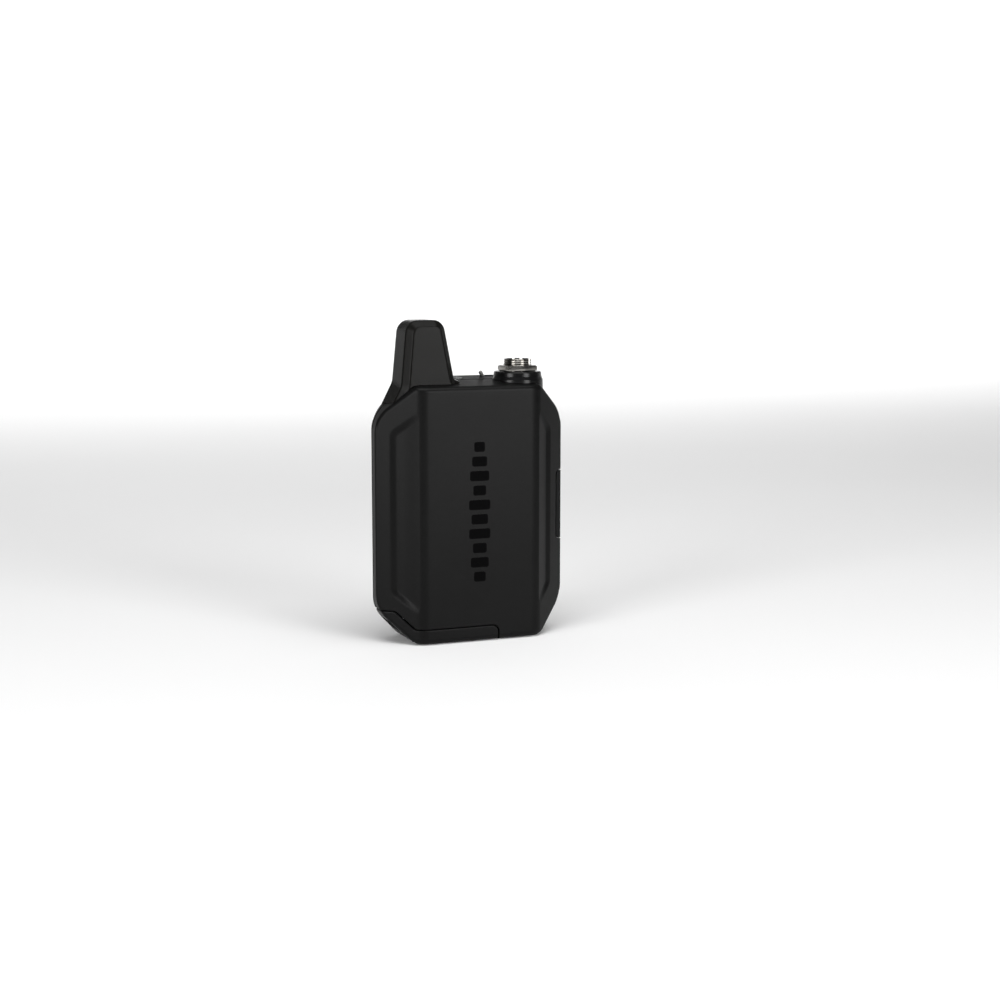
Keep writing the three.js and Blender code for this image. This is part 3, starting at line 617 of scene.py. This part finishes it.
def seam_steps():
    """A shallow rebate that runs along the seams of the shells."""
    steps = [block("parting", (-40, 40), (PARTING - REBATE, PARTING + GAP + REBATE), (-5, 95)),
             door_prism(GAP + REBATE), panel_prism(GAP + REBATE)]
    for tool in steps:
        combine(tool, "DIFFERENCE", [step_form], keep=True)
    return steps


def post(x, z, y0, y1, radius, bore, depth):
    """A post along Y, bored to a depth from its rear end, or from its front end if the depth is negative."""
    made = rod("post", radius, y0, y1, x, z, "y", 32)
    hole = (y1 - depth, y1 + 1) if depth > 0 else (y0 - 1, y0 - depth)
    combine(made, "DIFFERENCE", [rod("bore", bore, *hole, x, z, "y", 24)])
    return combine(made, "INTERSECT", [under_coat], keep=True)


def hinge_lug(side):
    y0, y1 = sorted((side * LUG_NEAR, side * LUG_FAR))
    arm = block("lug", (HINGE_X, LUG_ROOT), (y0, y1), (HINGE_Z - LUG_RADIUS, HINGE_Z + LUG_RADIUS))
    combine(arm, "UNION", [rod("eye", LUG_RADIUS, y0, y1, HINGE_X, HINGE_Z, "y", 32)])
    return combine(arm, "DIFFERENCE", [rod("bore", HINGE_BORE, y0 - 1, y1 + 1, HINGE_X, HINGE_Z, "y", 24)])


def ear(side):
    x0, x1 = sorted((side * CLIP_EAR, side * CLIP_EAR_END))
    shape = rounded([(BACK - 1, CLIP_PIVOT_Z - 4.6, 0), (CLIP_PIVOT_Y + 2, CLIP_PIVOT_Z - 2, 1.9),
                     (CLIP_PIVOT_Y + 2, CLIP_PIVOT_Z + 2, 1.9), (BACK - 1, CLIP_PIVOT_Z + 4.6, 0)])
    made = soften(prism("ear", shape, x0, x1, "x"), 0.35)
    bore = rod("bore", CLIP_WIRE + 0.14, x0 - 1, x1 + 1, CLIP_PIVOT_Y, CLIP_PIVOT_Z, "x", 32)
    return combine(made, "DIFFERENCE", [bore])


def half_case(name, y0, y1):
    """The part of the case's wall between two depths, with its seams and the mouths in the top cut out."""
    shell = combine(copied(wall, name), "INTERSECT", [block("half", (-60, 60), (y0, y1), (-9, 120))])
    return combine(shell, "DIFFERENCE", [door_prism(GAP), panel_prism(GAP), *seam_steps(),
                                         block("slot", *ANTENNA_MOUTH),
                                         rod("hole", CONNECTOR_MOUTH, 80, 95, CONNECTOR_X, 0)])


def front_shell():
    shell = half_case("front_case", -40, PARTING)
    posts = [post(x, z, FRONT + 0.5, PARTING, FRONT_POST, THREAD_BORE, 6) for x, z in CASE_SCREWS]
    combine(shell, "UNION", [*posts, hinge_lug(-1)])
    return field_normals(shell, case_field)


def countersink(x, z):
    """Sink for a case screw, with a softened rim."""
    profile = [(0.01, BACK - SINK_DEPTH), (SCREW_HEAD, BACK - SINK_DEPTH), (SCREW_HEAD, BACK - 0.28),
               (SCREW_RIM, BACK + 0.02), (SCREW_RIM, BACK + 1), (0.01, BACK + 1)]
    return turned("sink", profile, x, z, 64, "y")


def rear_shell():
    shell = half_case("rear_case", PARTING + GAP, 40)
    posts = [post(x, z, PARTING + GAP, BACK - 0.5, REAR_POST, 0.2, 0.2) for x, z in CASE_SCREWS]
    posts += [post(x, z, 6.3, BACK - 0.5, BOARD_POST, BOARD_BORE, -1.5) for x, z in BOARD_SCREWS]
    combine(shell, "UNION", [*posts, ear(1), ear(-1), hinge_lug(1)])
    x, y, _ = TOGGLE
    half, wide = SLOT_LENGTH / 2, SLOT_WIDTH / 2
    slot = prism("toggle_slot", rounded(rectangle(x - half, x + half, y - wide, y + wide, 0.8)), 83, 92, "z")
    label = prism("label", rounded(rectangle(*LABEL, 1.5)), BACK - LABEL_DEPTH, BACK + 1)
    combine(shell, "DIFFERENCE", [slot, rod("lens_hole", LENS_RADIUS + 0.18, 80, 92, LENS_X, LENS_Y),
                                  soften(label, 0.12, 2)])
    combine(shell, "DIFFERENCE", [countersink(x, z) for x, z in CASE_SCREWS])
    combine(shell, "DIFFERENCE", [rod("way", SCREW_WAY, 0, BACK, x, z, "y", 24) for x, z in CASE_SCREWS])
    combine(shell, "DIFFERENCE", [rod("bore", BOARD_BORE, 6, 7.8, x, z, "y", 24) for x, z in BOARD_SCREWS])
    return field_normals(shell, case_field)


place(front_shell(), "case", "coat", ["front_shell"])
place(rear_shell(), "case", "coat", ["rear_shell"])


# ---------- battery door and its lock ----------
DOOR_SHAPE = rounded([(DOOR_END, 0, HINGE_BARREL), (DOOR_END, DOOR_STRIP, 2.2), (-22.6, DOOR_STRIP, 2),
                      (-28.2, DOOR_HIGH, 2), (-36, DOOR_HIGH, 0), (-36, 0, 0)])
DOOR_ROUND = 0.42
DOOR_STOP, BARREL_RELIEF = 3.7, 4.3


def door_field(p):
    """The case's form, cut to the door's profile, with the edges rounded over."""
    d, g = case_field(p, 0.0, pockets=False)
    q, qu, qv = polygon_distance(p[0], p[2], DOOR_SHAPE)
    return fillet(d, g, q, np.stack([qu, 0 * qu, qv]), DOOR_ROUND)


DIAGONAL = math.sqrt(0.5)
CHAMFER = Matrix.Translation(Vector((-(FOOT + HALF_WIDTH) / 2, 0, LOW_CORNER / 2))) @ Matrix(
    ((-DIAGONAL, 0, DIAGONAL, 0), (0, -1, 0, 0), (DIAGONAL, 0, DIAGONAL, 0), (0, 0, 0, 1)))
LOCK_LENGTH, LOCK_PAD, LOCK_Y, LOCK_TRAVEL = 4.8, 5.6, -0.9, 2.5
LOCK_RIBS, LOCK_PLATE, LOCK_RECESS = (-1.6, 0, 1.6), 2.5, 0.9
PAD_START, PAD_END = LOCK_Y - LOCK_LENGTH / 2, LOCK_Y + LOCK_LENGTH / 2


def on_chamfer(piece):
    """Moves a piece from the lock's own frame (x along the chamfer, z into the case) onto the case."""
    turn = Matrix.Translation(CHAMFER.translation * MM) @ CHAMFER.to_3x3().to_4x4()
    piece.data.transform(turn)
    return piece


def lock_block(half, y, z, radius=0.0):
    shape = rounded(rectangle(-half, half, -y[1], -y[0], radius), 6)
    return on_chamfer(prism("lock_block", shape, z[0], z[1], "z"))


def battery_door():
    door = net_object("battery_flap", door_field, (-HALF_WIDTH, FRONT, 0), (DOOR_END, BACK, DOOR_HIGH), 0.3)
    combine(door, "DIFFERENCE", [cavity], keep=True)
    combine(door, "DIFFERENCE", [block("relief", (BARREL_RELIEF, 8), (-7, 7), (1.6, 6))])
    end = LUG_NEAR - GAP
    combine(door, "UNION", [rod("barrel", HINGE_BARREL, -end, end, HINGE_X, HINGE_Z, "y", 40)])
    notches = [block("notch", (DOOR_STOP, 8), sorted((side * end, side * (LUG_FAR + GAP))), (-2, 4.6))
               for side in (-1, 1)]
    reach = (PAD_START - GAP, PAD_END + LOCK_TRAVEL + GAP)
    recess = soften(lock_block(LOCK_PAD / 2 + GAP, reach, (-1, LOCK_RECESS), 0.7), 0.12, 2)
    bore = rod("bore", HINGE_BORE, -LUG_FAR - 1, LUG_FAR + 1, HINGE_X, HINGE_Z, "y", 24)
    way = lock_block(1.2, (LOCK_Y - 1.2, LOCK_Y + 4), (-1, 4), 0.5)
    combine(door, "DIFFERENCE", [bore, *notches, recess, way])
    return field_normals(door, door_field)


def lock():
    pad = soften(lock_block(LOCK_PAD / 2, (PAD_START, PAD_END), (0.05, 0.65), 0.6), 0.14, 3)
    ribs = [soften(lock_block(LOCK_PAD / 2 - 0.6, (LOCK_Y + along - 0.3, LOCK_Y + along + 0.3), (-0.12, 0.3),
                              0.25), 0.1, 2) for along in LOCK_RIBS]
    inner = [lock_block(0.9, (LOCK_Y - 0.9, LOCK_Y + 1.4), (0.3, 2.4), 0.3),
             lock_block(LOCK_PLATE, (LOCK_Y - 1.8, LOCK_Y + 2.4), (1.95, 2.75), 0.3)]
    combine(pad, "UNION", ribs + inner)
    pad.name = "lock_slider"
    return smooth(pad)


place(battery_door(), "door", "coat", ["battery_door"])
place(lock(), "lock", "panel_plastic", ["door_lock"])

# ---------- antenna ----------
ANTENNA_SHAPE = rounded(ANTENNA)
ANTENNA_DEPTH, ANTENNA_CHAMFER, ANTENNA_SOFT = 7.0, 2.1, 0.9
ANTENNA_TIP, SLANT_END = 107, 103


def antenna_field(p):
    """The antenna's outline, with chamfered and softened long edges, kept within the case's section.

    Its foot follows the slope of the case's top, and the slant fades out towards its tip.
    """
    x, y, z = p
    drop = SLOPE * y / (SLANT_END - SHOULDER)
    slanted = (z - SLANT_END * drop) / (1 - drop)
    slanted = np.where(slanted > SLANT_END, z, np.where(slanted < SHOULDER, z - SLOPE * y, slanted))
    q, qu, qv = polygon_distance(x, slanted, ANTENNA_SHAPE)
    outline = np.stack([qu, 0 * qu, qv])
    face = np.abs(y) - ANTENNA_DEPTH
    across = np.stack([0 * y, np.sign(y), 0 * y])
    slant = (q + face + ANTENNA_CHAMFER) * DIAGONAL
    d, g = fillet(q, outline, slant, (outline + across) * DIAGONAL, ANTENNA_SOFT)
    d, g = fillet(d, g, face, across, ANTENNA_SOFT)
    s, su, sv = chain_distance(np.abs(x), y, SECTION, 0.4)
    return fillet(d, g, s, np.stack([su * np.sign(x), sv, 0 * x]), 0.8)


def antenna():
    low, high = (-31, -ANTENNA_DEPTH, 78), (-4, ANTENNA_DEPTH, ANTENNA_TIP)
    cover = net_object("antenna_stub", antenna_field, low, high, 0.4)
    combine(cover, "DIFFERENCE", [seat], keep=True)
    hollow = prism("hollow", rounded(grown(ANTENNA, -2.2)), -4.6, 4.6)
    combine(hollow, "DIFFERENCE", [case_net("floor", -1.9, 1.0)])
    combine(cover, "DIFFERENCE", [hollow, block("way", (-20.6, -12.4), (-2.4, 0.4), (82, 91))])
    return field_normals(cover, antenna_field)


place(antenna(), "case", "antenna_plastic", ["antenna_cover"])


# ---------- input connector ----------
PIN_CIRCLE, NUT_CORNER, NUT_TOP = 2.1, 6.7, 91.4
THREAD_PITCH, THREAD_DEPTH, THREAD_START = 0.75, 0.26, 89.2
FLANGE_RADIUS, FLANGE_LOW, FLANGE_HIGH = 5.8, 79.9, 81.5


def about_connector(radius, degrees):
    a = math.radians(degrees)
    return CONNECTOR_X + radius * math.cos(a), radius * math.sin(a)


PIN_PLACES = [about_connector(PIN_CIRCLE, degrees) for degrees in (45, 135, 225, 315)]


def collar():
    profile = rounded([(5.0, 83, 0), (COLLAR_FOOT, 83, 0), (COLLAR_FOOT, HEIGHT, 1.2),
                       (COLLAR_RADIUS + 0.05, 87.9, 1.6), (COLLAR_RADIUS, COLLAR_TOP, 0.6),
                       (5.0, COLLAR_TOP, 0.2)])
    ring = turned("connector_boss", [tuple(p) for p in profile], CONNECTOR_X, 0, 128)
    combine(ring, "DIFFERENCE", [seat], keep=True)
    return smooth(ring, 50)


def nut():
    low, high = COLLAR_TOP + 0.1, NUT_TOP
    corners = [about_connector(NUT_CORNER, 30 + 60 * k) for k in range(6)]
    body = prism("locknut", corners, low, high, "z")
    dome = [(0.01, low), (6.05, low), (6.75, low + 0.4), (6.75, high - 0.4), (6.05, high), (0.01, high)]
    combine(body, "INTERSECT", [turned("dome", dome, CONNECTOR_X, 0, 96)])
    bore = [(0.01, low - 1), (5.6, low - 0.42), (BARREL_RADIUS + 0.12, low + 0.35),
            (BARREL_RADIUS + 0.12, high - 0.3), (5.3, high + 0.3), (5.3, high + 1), (0.01, high + 1)]
    combine(body, "DIFFERENCE", [turned("bore", bore, CONNECTOR_X, 0, 96)])
    return smooth(soften(body, 0.07, 2, 25), 30)


def barrel():
    """The threaded socket: a helical thread outside, a plain bore and a keyway."""
    heights = np.arange(81.6, BARREL_RIM - 0.35, THREAD_PITCH / 9)
    low, high = FLANGE_LOW, FLANGE_HIGH
    profile = [(3.9, low), (FLANGE_RADIUS, low), (FLANGE_RADIUS, high), (4.5, high)]
    profile += [(BARREL_RADIUS, h) for h in heights]
    profile += [(BARREL_RADIUS - 0.1, BARREL_RIM - 0.28), (BARREL_RADIUS - 0.16, BARREL_RIM - 0.08),
                (BARREL_RADIUS - 0.26, BARREL_RIM), (4.05, BARREL_RIM), (3.93, BARREL_RIM - 0.05),
                (3.88, BARREL_RIM - 0.2)]
    n, sides = len(profile), 120
    shell = turned("socket_barrel", profile, 0, 0, sides)
    for i, vertex in enumerate(shell.data.vertices):
        h = profile[i % n][1]
        if profile[i % n][0] == BARREL_RADIUS and h > THREAD_START:
            phase = (h / THREAD_PITCH - (i // n) / sides) % 1
            ridge = 1 - smooth_step(abs(phase - 0.5) * 2.6)
            share = min(1, (h - THREAD_START) / THREAD_PITCH)
            scale = 1 - THREAD_DEPTH * share * ridge / BARREL_RADIUS
            vertex.co.x *= scale
            vertex.co.y *= scale
    shell.data.transform(Matrix.Translation((CONNECTOR_X * MM, 0, 0)))
    keyway = soften(block("keyway", (CONNECTOR_X + 2.6, CONNECTOR_X + 3.9), (-5.4, -2.2), (91.6, 95)), 0.15)
    combine(shell, "DIFFERENCE", [keyway])
    return smooth(shell, 45)


def insert():
    low, high, radius = 80.4, 86.6, 3.7
    profile = [(0.01, low), (radius, low), (radius, high - 0.25), (radius - 0.25, high), (0.01, high)]
    disc = turned("contact_insert", profile, CONNECTOR_X, 0, 72)
    combine(disc, "DIFFERENCE", [rod("hole", 0.7, 79, 88, x, y, "z", 24) for x, y in PIN_PLACES])
    return smooth(soften(disc, 0.1, 2, 50))


place(collar(), "case", "gloss_black", ["connector_collar"])
place(nut(), "case", "nickel", ["connector_nut"])
place(barrel(), "case", "nickel", ["connector_barrel"])
place(insert(), "case", "gloss_black", ["connector_insert"])
for number, (x, y) in enumerate(PIN_PLACES, 1):
    tip = [(0.42, 77.4), (0.5, 77.5), (0.5, 90.6), (0.42, 90.82), (0.25, 90.96), (0.08, 91.0)]
    pin = smooth(turned(f"contact_pin_{number}", tip, x, y, 28, closed=False))
    place(pin, "case", "contact_gold", [f"connector_pin_{number}"])

# ---------- power toggle and status light ----------
BALL_RADIUS, TOGGLE_LEAN, LENS_SEAT = 0.95, -30, 84.4


def lever():
    ball = [(BALL_RADIUS * math.cos(a), BALL_RADIUS * math.sin(a)) for a in np.radians(range(-84, 49, 12))]
    stem = [(0.57, 0.86), (0.55, 1.1), (0.56, 2.0), (0.60, 3.2), (0.645, 3.9), (0.64, 4.15), (0.58, 4.36),
            (0.44, 4.51), (0.25, 4.58), (0.06, 4.6)]
    made = turned("toggle_lever", ball + stem, 0, 0, 36, closed=False)
    x, y, z = TOGGLE
    lean = Matrix.Rotation(math.radians(TOGGLE_LEAN), 4, "Y")
    made.data.transform(Matrix.Translation((x * MM, y * MM, z * MM)) @ lean)
    return smooth(made, 50)


def lens_field(p):
    x, y, z = p
    d, g = case_field(p, -LENS_PROUD, pockets=False)
    u, v = x - LENS_X, y - LENS_Y
    size = np.sqrt(u * u + v * v) + 1e-6
    d, g = fillet(d, g, size - LENS_RADIUS, np.stack([u / size, v / size, 0 * x]), 0.3)
    return np.maximum(d, LENS_SEAT - z), g


def lens():
    low, high = (LENS_X - 2, LENS_Y - 2, LENS_SEAT), (LENS_X + 2, LENS_Y + 2, LENS_SEAT + 4)
    head = net_object("light_window", lens_field, low, high, 0.13)
    combine(head, "UNION", [rod("stem", 1.2, 81.2, 85, LENS_X, 3.7, "z", 32)])
    return field_normals(head, lens_field, close=0.01)


place(lever(), "power_toggle", "lever_grey", ["power_switch_lever"])
place(lens(), "case", "light_pipe", ["status_light_pipe"])


# ---------- side panel, charging socket, link button ----------
def stadium(grow):
    return rounded(rectangle(LINK_Y - LINK_WIDE / 2 - grow, LINK_Y + LINK_WIDE / 2 + grow,
                             LINK_Z - LINK_TALL / 2 - grow, LINK_Z + LINK_TALL / 2 + grow,
                             LINK_WIDE / 2 + grow - 0.15), 12)


def usb_shape(grow, radius):
    return rounded(rectangle(USB_Y - USB_DEEP / 2 - grow, USB_Y + USB_DEEP / 2 + grow,
                             USB_Z - USB_WIDE / 2 - grow, USB_Z + USB_WIDE / 2 + grow, radius), 8)


def side_panel():
    panel = combine(copied(wall, "side_cover"), "INTERSECT", [panel_prism(0)])
    combine(panel, "UNION", [block("backing", (PANEL_BACKING, 32.2), (-1.1, 2.7), (32.6, 54.3))])
    mouths = [prism("mouth", usb_shape(0.2, 0.8), 29, 36, "x"), prism("hole", stadium(0.15), 29, 36, "x"),
              prism("flare", usb_shape(0.42, 0.95), HALF_WIDTH - 0.18, 36, "x"),
              prism("flare", stadium(0.36), HALF_WIDTH - 0.16, 36, "x")]
    combine(panel, "DIFFERENCE", mouths)
    return field_normals(panel, case_field)


def usb_shell():
    shell = prism("charging_socket", usb_shape(0, 0.7), USB_REAR, USB_MOUTH, "x")
    combine(shell, "DIFFERENCE", [prism("inside", usb_shape(-0.3, 0.45), USB_REAR + 0.5, 40, "x")])
    combine(shell, "UNION", [block("foot", (25.1, 25.7), (USB_Y + 1, 4.3), (USB_Z + z, USB_Z + z + 0.8))
                             for z in (-3.1, 2.3)])
    return smooth(soften(shell, 0.07, 2, 50))


def usb_tongue():
    half, pitch = 2.0, 0.65
    tongue = block("socket_tongue", (USB_REAR + 0.8, USB_MOUTH - 0.8), (USB_Y - 0.3, USB_Y + 0.3),
                   (USB_Z - half, USB_Z + half))
    grooves = []
    for z in [USB_Z + pitch * k for k in range(-2, 3)]:
        grooves.append(block("groove", (USB_REAR + 1.2, USB_MOUTH - 1.0), (USB_Y - 0.5, USB_Y - 0.22),
                             (z - 0.2, z + 0.2)))
    return smooth(combine(soften(tongue, 0.1, 2), "DIFFERENCE", grooves))


def link_button():
    cap = soften(prism("link_key", stadium(0), 29.3, LINK_FACE, "x"), 0.35, 4, 50)
    flange = block("flange", (28.7, 29.6), (-0.9, 2.7), (LINK_Z - 3.5, LINK_Z + 3.5))
    combine(cap, "UNION", [soften(flange, 0.1, 2)])
    dish = turned("dish", [(0.01, LINK_FACE - 0.12), (0.55, LINK_FACE - 0.09), (0.9, LINK_FACE + 0.02),
                           (0.9, LINK_FACE + 1), (0.01, LINK_FACE + 1)], LINK_Y, LINK_Z, 48, "x")
    return smooth(combine(cap, "DIFFERENCE", [dish]), 30)


place(side_panel(), "case", "panel_plastic", ["side_panel"])
place(usb_shell(), "case", "nickel", ["usb_shell"])
place(usb_tongue(), "case", "chip_black", ["usb_tongue"])
place(link_button(), "link_key", "button_rubber", ["link_button"])


# ---------- screws and belt clip ----------
def case_screw(number, x, z):
    top = BACK - 0.1
    profile = [(0.85, -3.6), (0.85, BACK - 1.1), (1.9, BACK - 1.1), (1.9, top - 0.35), (1.8, top - 0.12),
               (1.6, top), (0.3, top)]
    tip = [(0.3, -3.9), (0.6, -3.9)]
    screw = turned(f"shell_screw_{number}", tip + profile, x, z, 48, "y", closed=False)
    drive = rod("drive", 0.8, BACK - 0.75, BACK + 1, x, z, "y", 6)
    return smooth(soften(combine(screw, "DIFFERENCE", [drive]), 0.05, 2, 50), 30)


def bent(points, bend, steps=14):
    """Straight runs between points, joined by smooth bends."""
    points = [np.array(p, float) for p in points]
    path, last = [points[0]], points[0]
    for here, after in zip(points[1:-1], points[2:]):
        back, ahead = np.linalg.norm(here - last), np.linalg.norm(after - here)
        reach = min(bend, back * 0.45, ahead * 0.45)
        entry, leave = here + (last - here) * reach / back, here + (after - here) * reach / ahead
        run = max(2, int(np.linalg.norm(entry - last) / 1.5))
        path += [last + (entry - last) * k / run for k in range(1, run)]
        path += [entry * (1 - t) ** 2 + here * 2 * t * (1 - t) + leave * t * t
                 for t in np.linspace(0, 1, steps)]
        last = leave
    run = max(2, int(np.linalg.norm(points[-1] - last) / 1.5))
    return path + [last + (points[-1] - last) * k / run for k in range(1, run + 1)]


def belt_clip():
    """The wire runs from ear to ear, stands off the back and dips in to grip near its lower end."""
    leg, out = 17.4, 17.3
    half = [(CLIP_EAR + 0.3, CLIP_PIVOT_Y, CLIP_PIVOT_Z), (leg, CLIP_PIVOT_Y, CLIP_PIVOT_Z),
            (leg, out, CLIP_PIVOT_Z - 6), (leg - 0.6, out, 34), (leg - 2.6, 13.3, 25),
            (leg - 3.6, 15.2, 17.5)]
    points = half + [(-x, y, z) for x, y, z in reversed(half)]
    wire = tube("wire_clip", bent(points, 3.2), CLIP_WIRE - 0.005, 20)
    return smooth(wire, 60)


for number, (x, z) in enumerate(CASE_SCREWS, 1):
    place(case_screw(number, x, z), "case", "screw_steel", [f"case_screw_{number}"])
place(belt_clip(), "clip", "clip_steel", ["belt_clip"])

# ---------- generic mark on the front ----------
MARK_X, MARK_LOW, MARK_PITCH, MARK_BAR, MARK_HALF, FILM = -0.5, 20.2, 4.83, 3.3, 3.75, 0.03
MARK_SHARES = (0.55, 0.85, 0.65, 1.0, 0.78, 1.0, 0.6, 0.9, 0.7, 0.5)


def front_mark():
    """A stack of rounded bars of different lengths, like a sound wave, as a thin printed film."""
    vertices, faces = [], []
    for k, share in enumerate(MARK_SHARES):
        half, z = MARK_HALF * share, MARK_LOW + MARK_PITCH * k
        outline = rounded(rectangle(MARK_X - half, MARK_X + half, z, z + MARK_BAR, 0.7), 6)
        n, start = len(outline), len(vertices)
        vertices += [(u, depth, v) for depth in (FRONT - FILM, FRONT + 0.1) for u, v in outline]
        faces += [[start + i for i in range(n)], [start + n + i for i in range(n)][::-1]]
        faces += [[start + (i + 1) % n, start + i, start + n + i, start + n + (i + 1) % n] for i in range(n)]
    return from_arrays("front_mark", vertices, faces)


place(front_mark(), "case", "gloss_black", material=INK)

# ---------- CAD nodes that stay: the material of each and how far its edges are softened ----------
KEPT = {
    "antenna_strip": ("circuit_board", 0.05), "antenna_contact": ("contact_gold", 0.08),
    "connector_board": ("circuit_board", 0.08), "power_switch_body": ("chip_black", 0.3),
    "status_led": ("led_body", 0.15), "link_switch": ("chip_black", 0.12),
    "main_board": ("circuit_board", 0.06),
    "board_screw_1": ("screw_steel", 0.08), "board_screw_2": ("screw_steel", 0.08),
    "radio_shield": ("shield_tin", 0.35), "processor_chip": ("chip_black", 0.1),
    "audio_chip": ("chip_black", 0.1), "charger_chip": ("chip_black", 0.1),
    "battery_holder": ("panel_plastic", 0.12), "battery_pack": ("battery_case", 0.45),
    "battery_contact_1": ("contact_gold", 0.06), "battery_contact_2": ("contact_gold", 0.06),
    "battery_contact_3": ("contact_gold", 0.06), "door_hinge_pin": ("screw_steel", 0.06),
}
for node, (slot_name, edge) in KEPT.items():
    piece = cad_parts[node]
    piece.data.materials.clear()
    piece.data.materials.append(MATERIALS[slot_name])
    weld = piece.modifiers.new("weld", "WELD")
    weld.merge_threshold = 0.001 * MM
    rounding = piece.modifiers.new("edge", "BEVEL")
    rounding.width, rounding.segments, rounding.limit_method = edge * MM, 2, "ANGLE"
    rounding.angle_limit = math.radians(50)

for tool in (outer, cavity, under_coat, step_form, seat, wall):
    bpy.data.objects.remove(tool)


# ---------- floor, light and camera ----------
# In metres from here on.
FLOOR_NEAR, FLOOR_FAR, FLOOR_HALF, BACKDROP_RADIUS, FLOOR_DROP = -4.0, 1.4, 4.5, 0.6, 0.0003
CAMERA_PLACE, CAMERA_YAW, CAMERA_PITCH, CAMERA_LENS = (-0.2050, -0.5317, 0.1227), 22.15, 7.65, 61.2
SIDE_BOX, SIDE_DISTANCE, WORLD_STRENGTH = (0.36, 0.9), 0.9, 0.12


def sweep():
    """A pale floor that curves up into a backdrop."""
    profile = [(FLOOR_NEAR, 0.0), (FLOOR_FAR, 0.0)]
    profile += [(FLOOR_FAR + BACKDROP_RADIUS * math.sin(a), BACKDROP_RADIUS - BACKDROP_RADIUS * math.cos(a))
                for a in np.linspace(0.1, math.pi / 2, 14)]
    vertices = [(x, y, z) for y, z in profile for x in (-FLOOR_HALF, FLOOR_HALF)]
    faces = [[2 * i, 2 * i + 1, 2 * i + 3, 2 * i + 2] for i in range(len(profile) - 1)]
    mesh = bpy.data.meshes.new("floor")
    mesh.from_pydata(vertices, [], faces)
    mesh.shade_smooth()
    made = new_object("floor", mesh)
    material, tree, shader = graph("floor_paper")
    shade = noise(tree, 3, 2.0)
    tree.links.new(tint(tree, shade, (0.86, 0.86, 0.86), (0.90, 0.90, 0.90)), shader.inputs["Base Color"])
    shader.inputs["Roughness"].default_value = 0.9
    shader.inputs["Specular IOR Level"].default_value = 0.1
    made.data.materials.append(material)
    made.rotation_euler.z = -math.radians(CAMERA_YAW)
    made.location.z = -FLOOR_DROP


def softbox(name, azimuth, elevation, distance, size, power, aim=(0, 0, 0.05)):
    """A rectangular soft light turned to its aim. Azimuth 0 is in front of the object and grows to +X."""
    light = bpy.data.lights.new(name, "AREA")
    light.shape = "RECTANGLE"
    light.size, light.size_y = size
    light.energy = power
    a, e = math.radians(azimuth), math.radians(elevation)
    offset = Vector((math.sin(a) * math.cos(e), -math.cos(a) * math.cos(e), math.sin(e))) * distance
    made = bpy.data.objects.new(name, light)
    made.location = Vector(aim) + offset
    made.rotation_mode = "QUATERNION"
    made.rotation_quaternion = (-offset).to_track_quat("-Z", "Y")
    bpy.context.scene.collection.objects.link(made)
    return made


sweep()
softbox("key_right", 22, 3, SIDE_DISTANCE, SIDE_BOX, 8.6)
softbox("fill_left", -58, 5, SIDE_DISTANCE, SIDE_BOX, 8.6)
softbox("edge_right", 104, 8, SIDE_DISTANCE, (0.3, 0.8), 0.3)
softbox("top", 0, 72, SIDE_DISTANCE, (0.8, 0.6), 6.2)
softbox("backdrop_light", 0, 50, 1.2, (2.4, 0.8), 24.0, aim=(0.45, 1.9, 0.2))

world = bpy.data.worlds.new("studio")
bpy.context.scene.world = world
world.use_nodes = True
background = world.node_tree.nodes["Background"]
background.inputs[0].default_value = (1, 1, 1, 1)
background.inputs[1].default_value = WORLD_STRENGTH

camera = bpy.data.objects.new("camera", bpy.data.cameras.new("camera"))
camera.data.lens, camera.data.sensor_width = CAMERA_LENS, 36.0
camera.location = CAMERA_PLACE
yaw, pitch = math.radians(CAMERA_YAW), math.radians(CAMERA_PITCH)
look = Vector((math.sin(yaw) * math.cos(pitch), math.cos(yaw) * math.cos(pitch), -math.sin(pitch)))
camera.rotation_mode = "QUATERNION"
camera.rotation_quaternion = look.to_track_quat("-Z", "Y")
bpy.context.scene.collection.objects.link(camera)
bpy.context.scene.camera = camera
bpy.context.scene.view_settings.view_transform = "Standard"
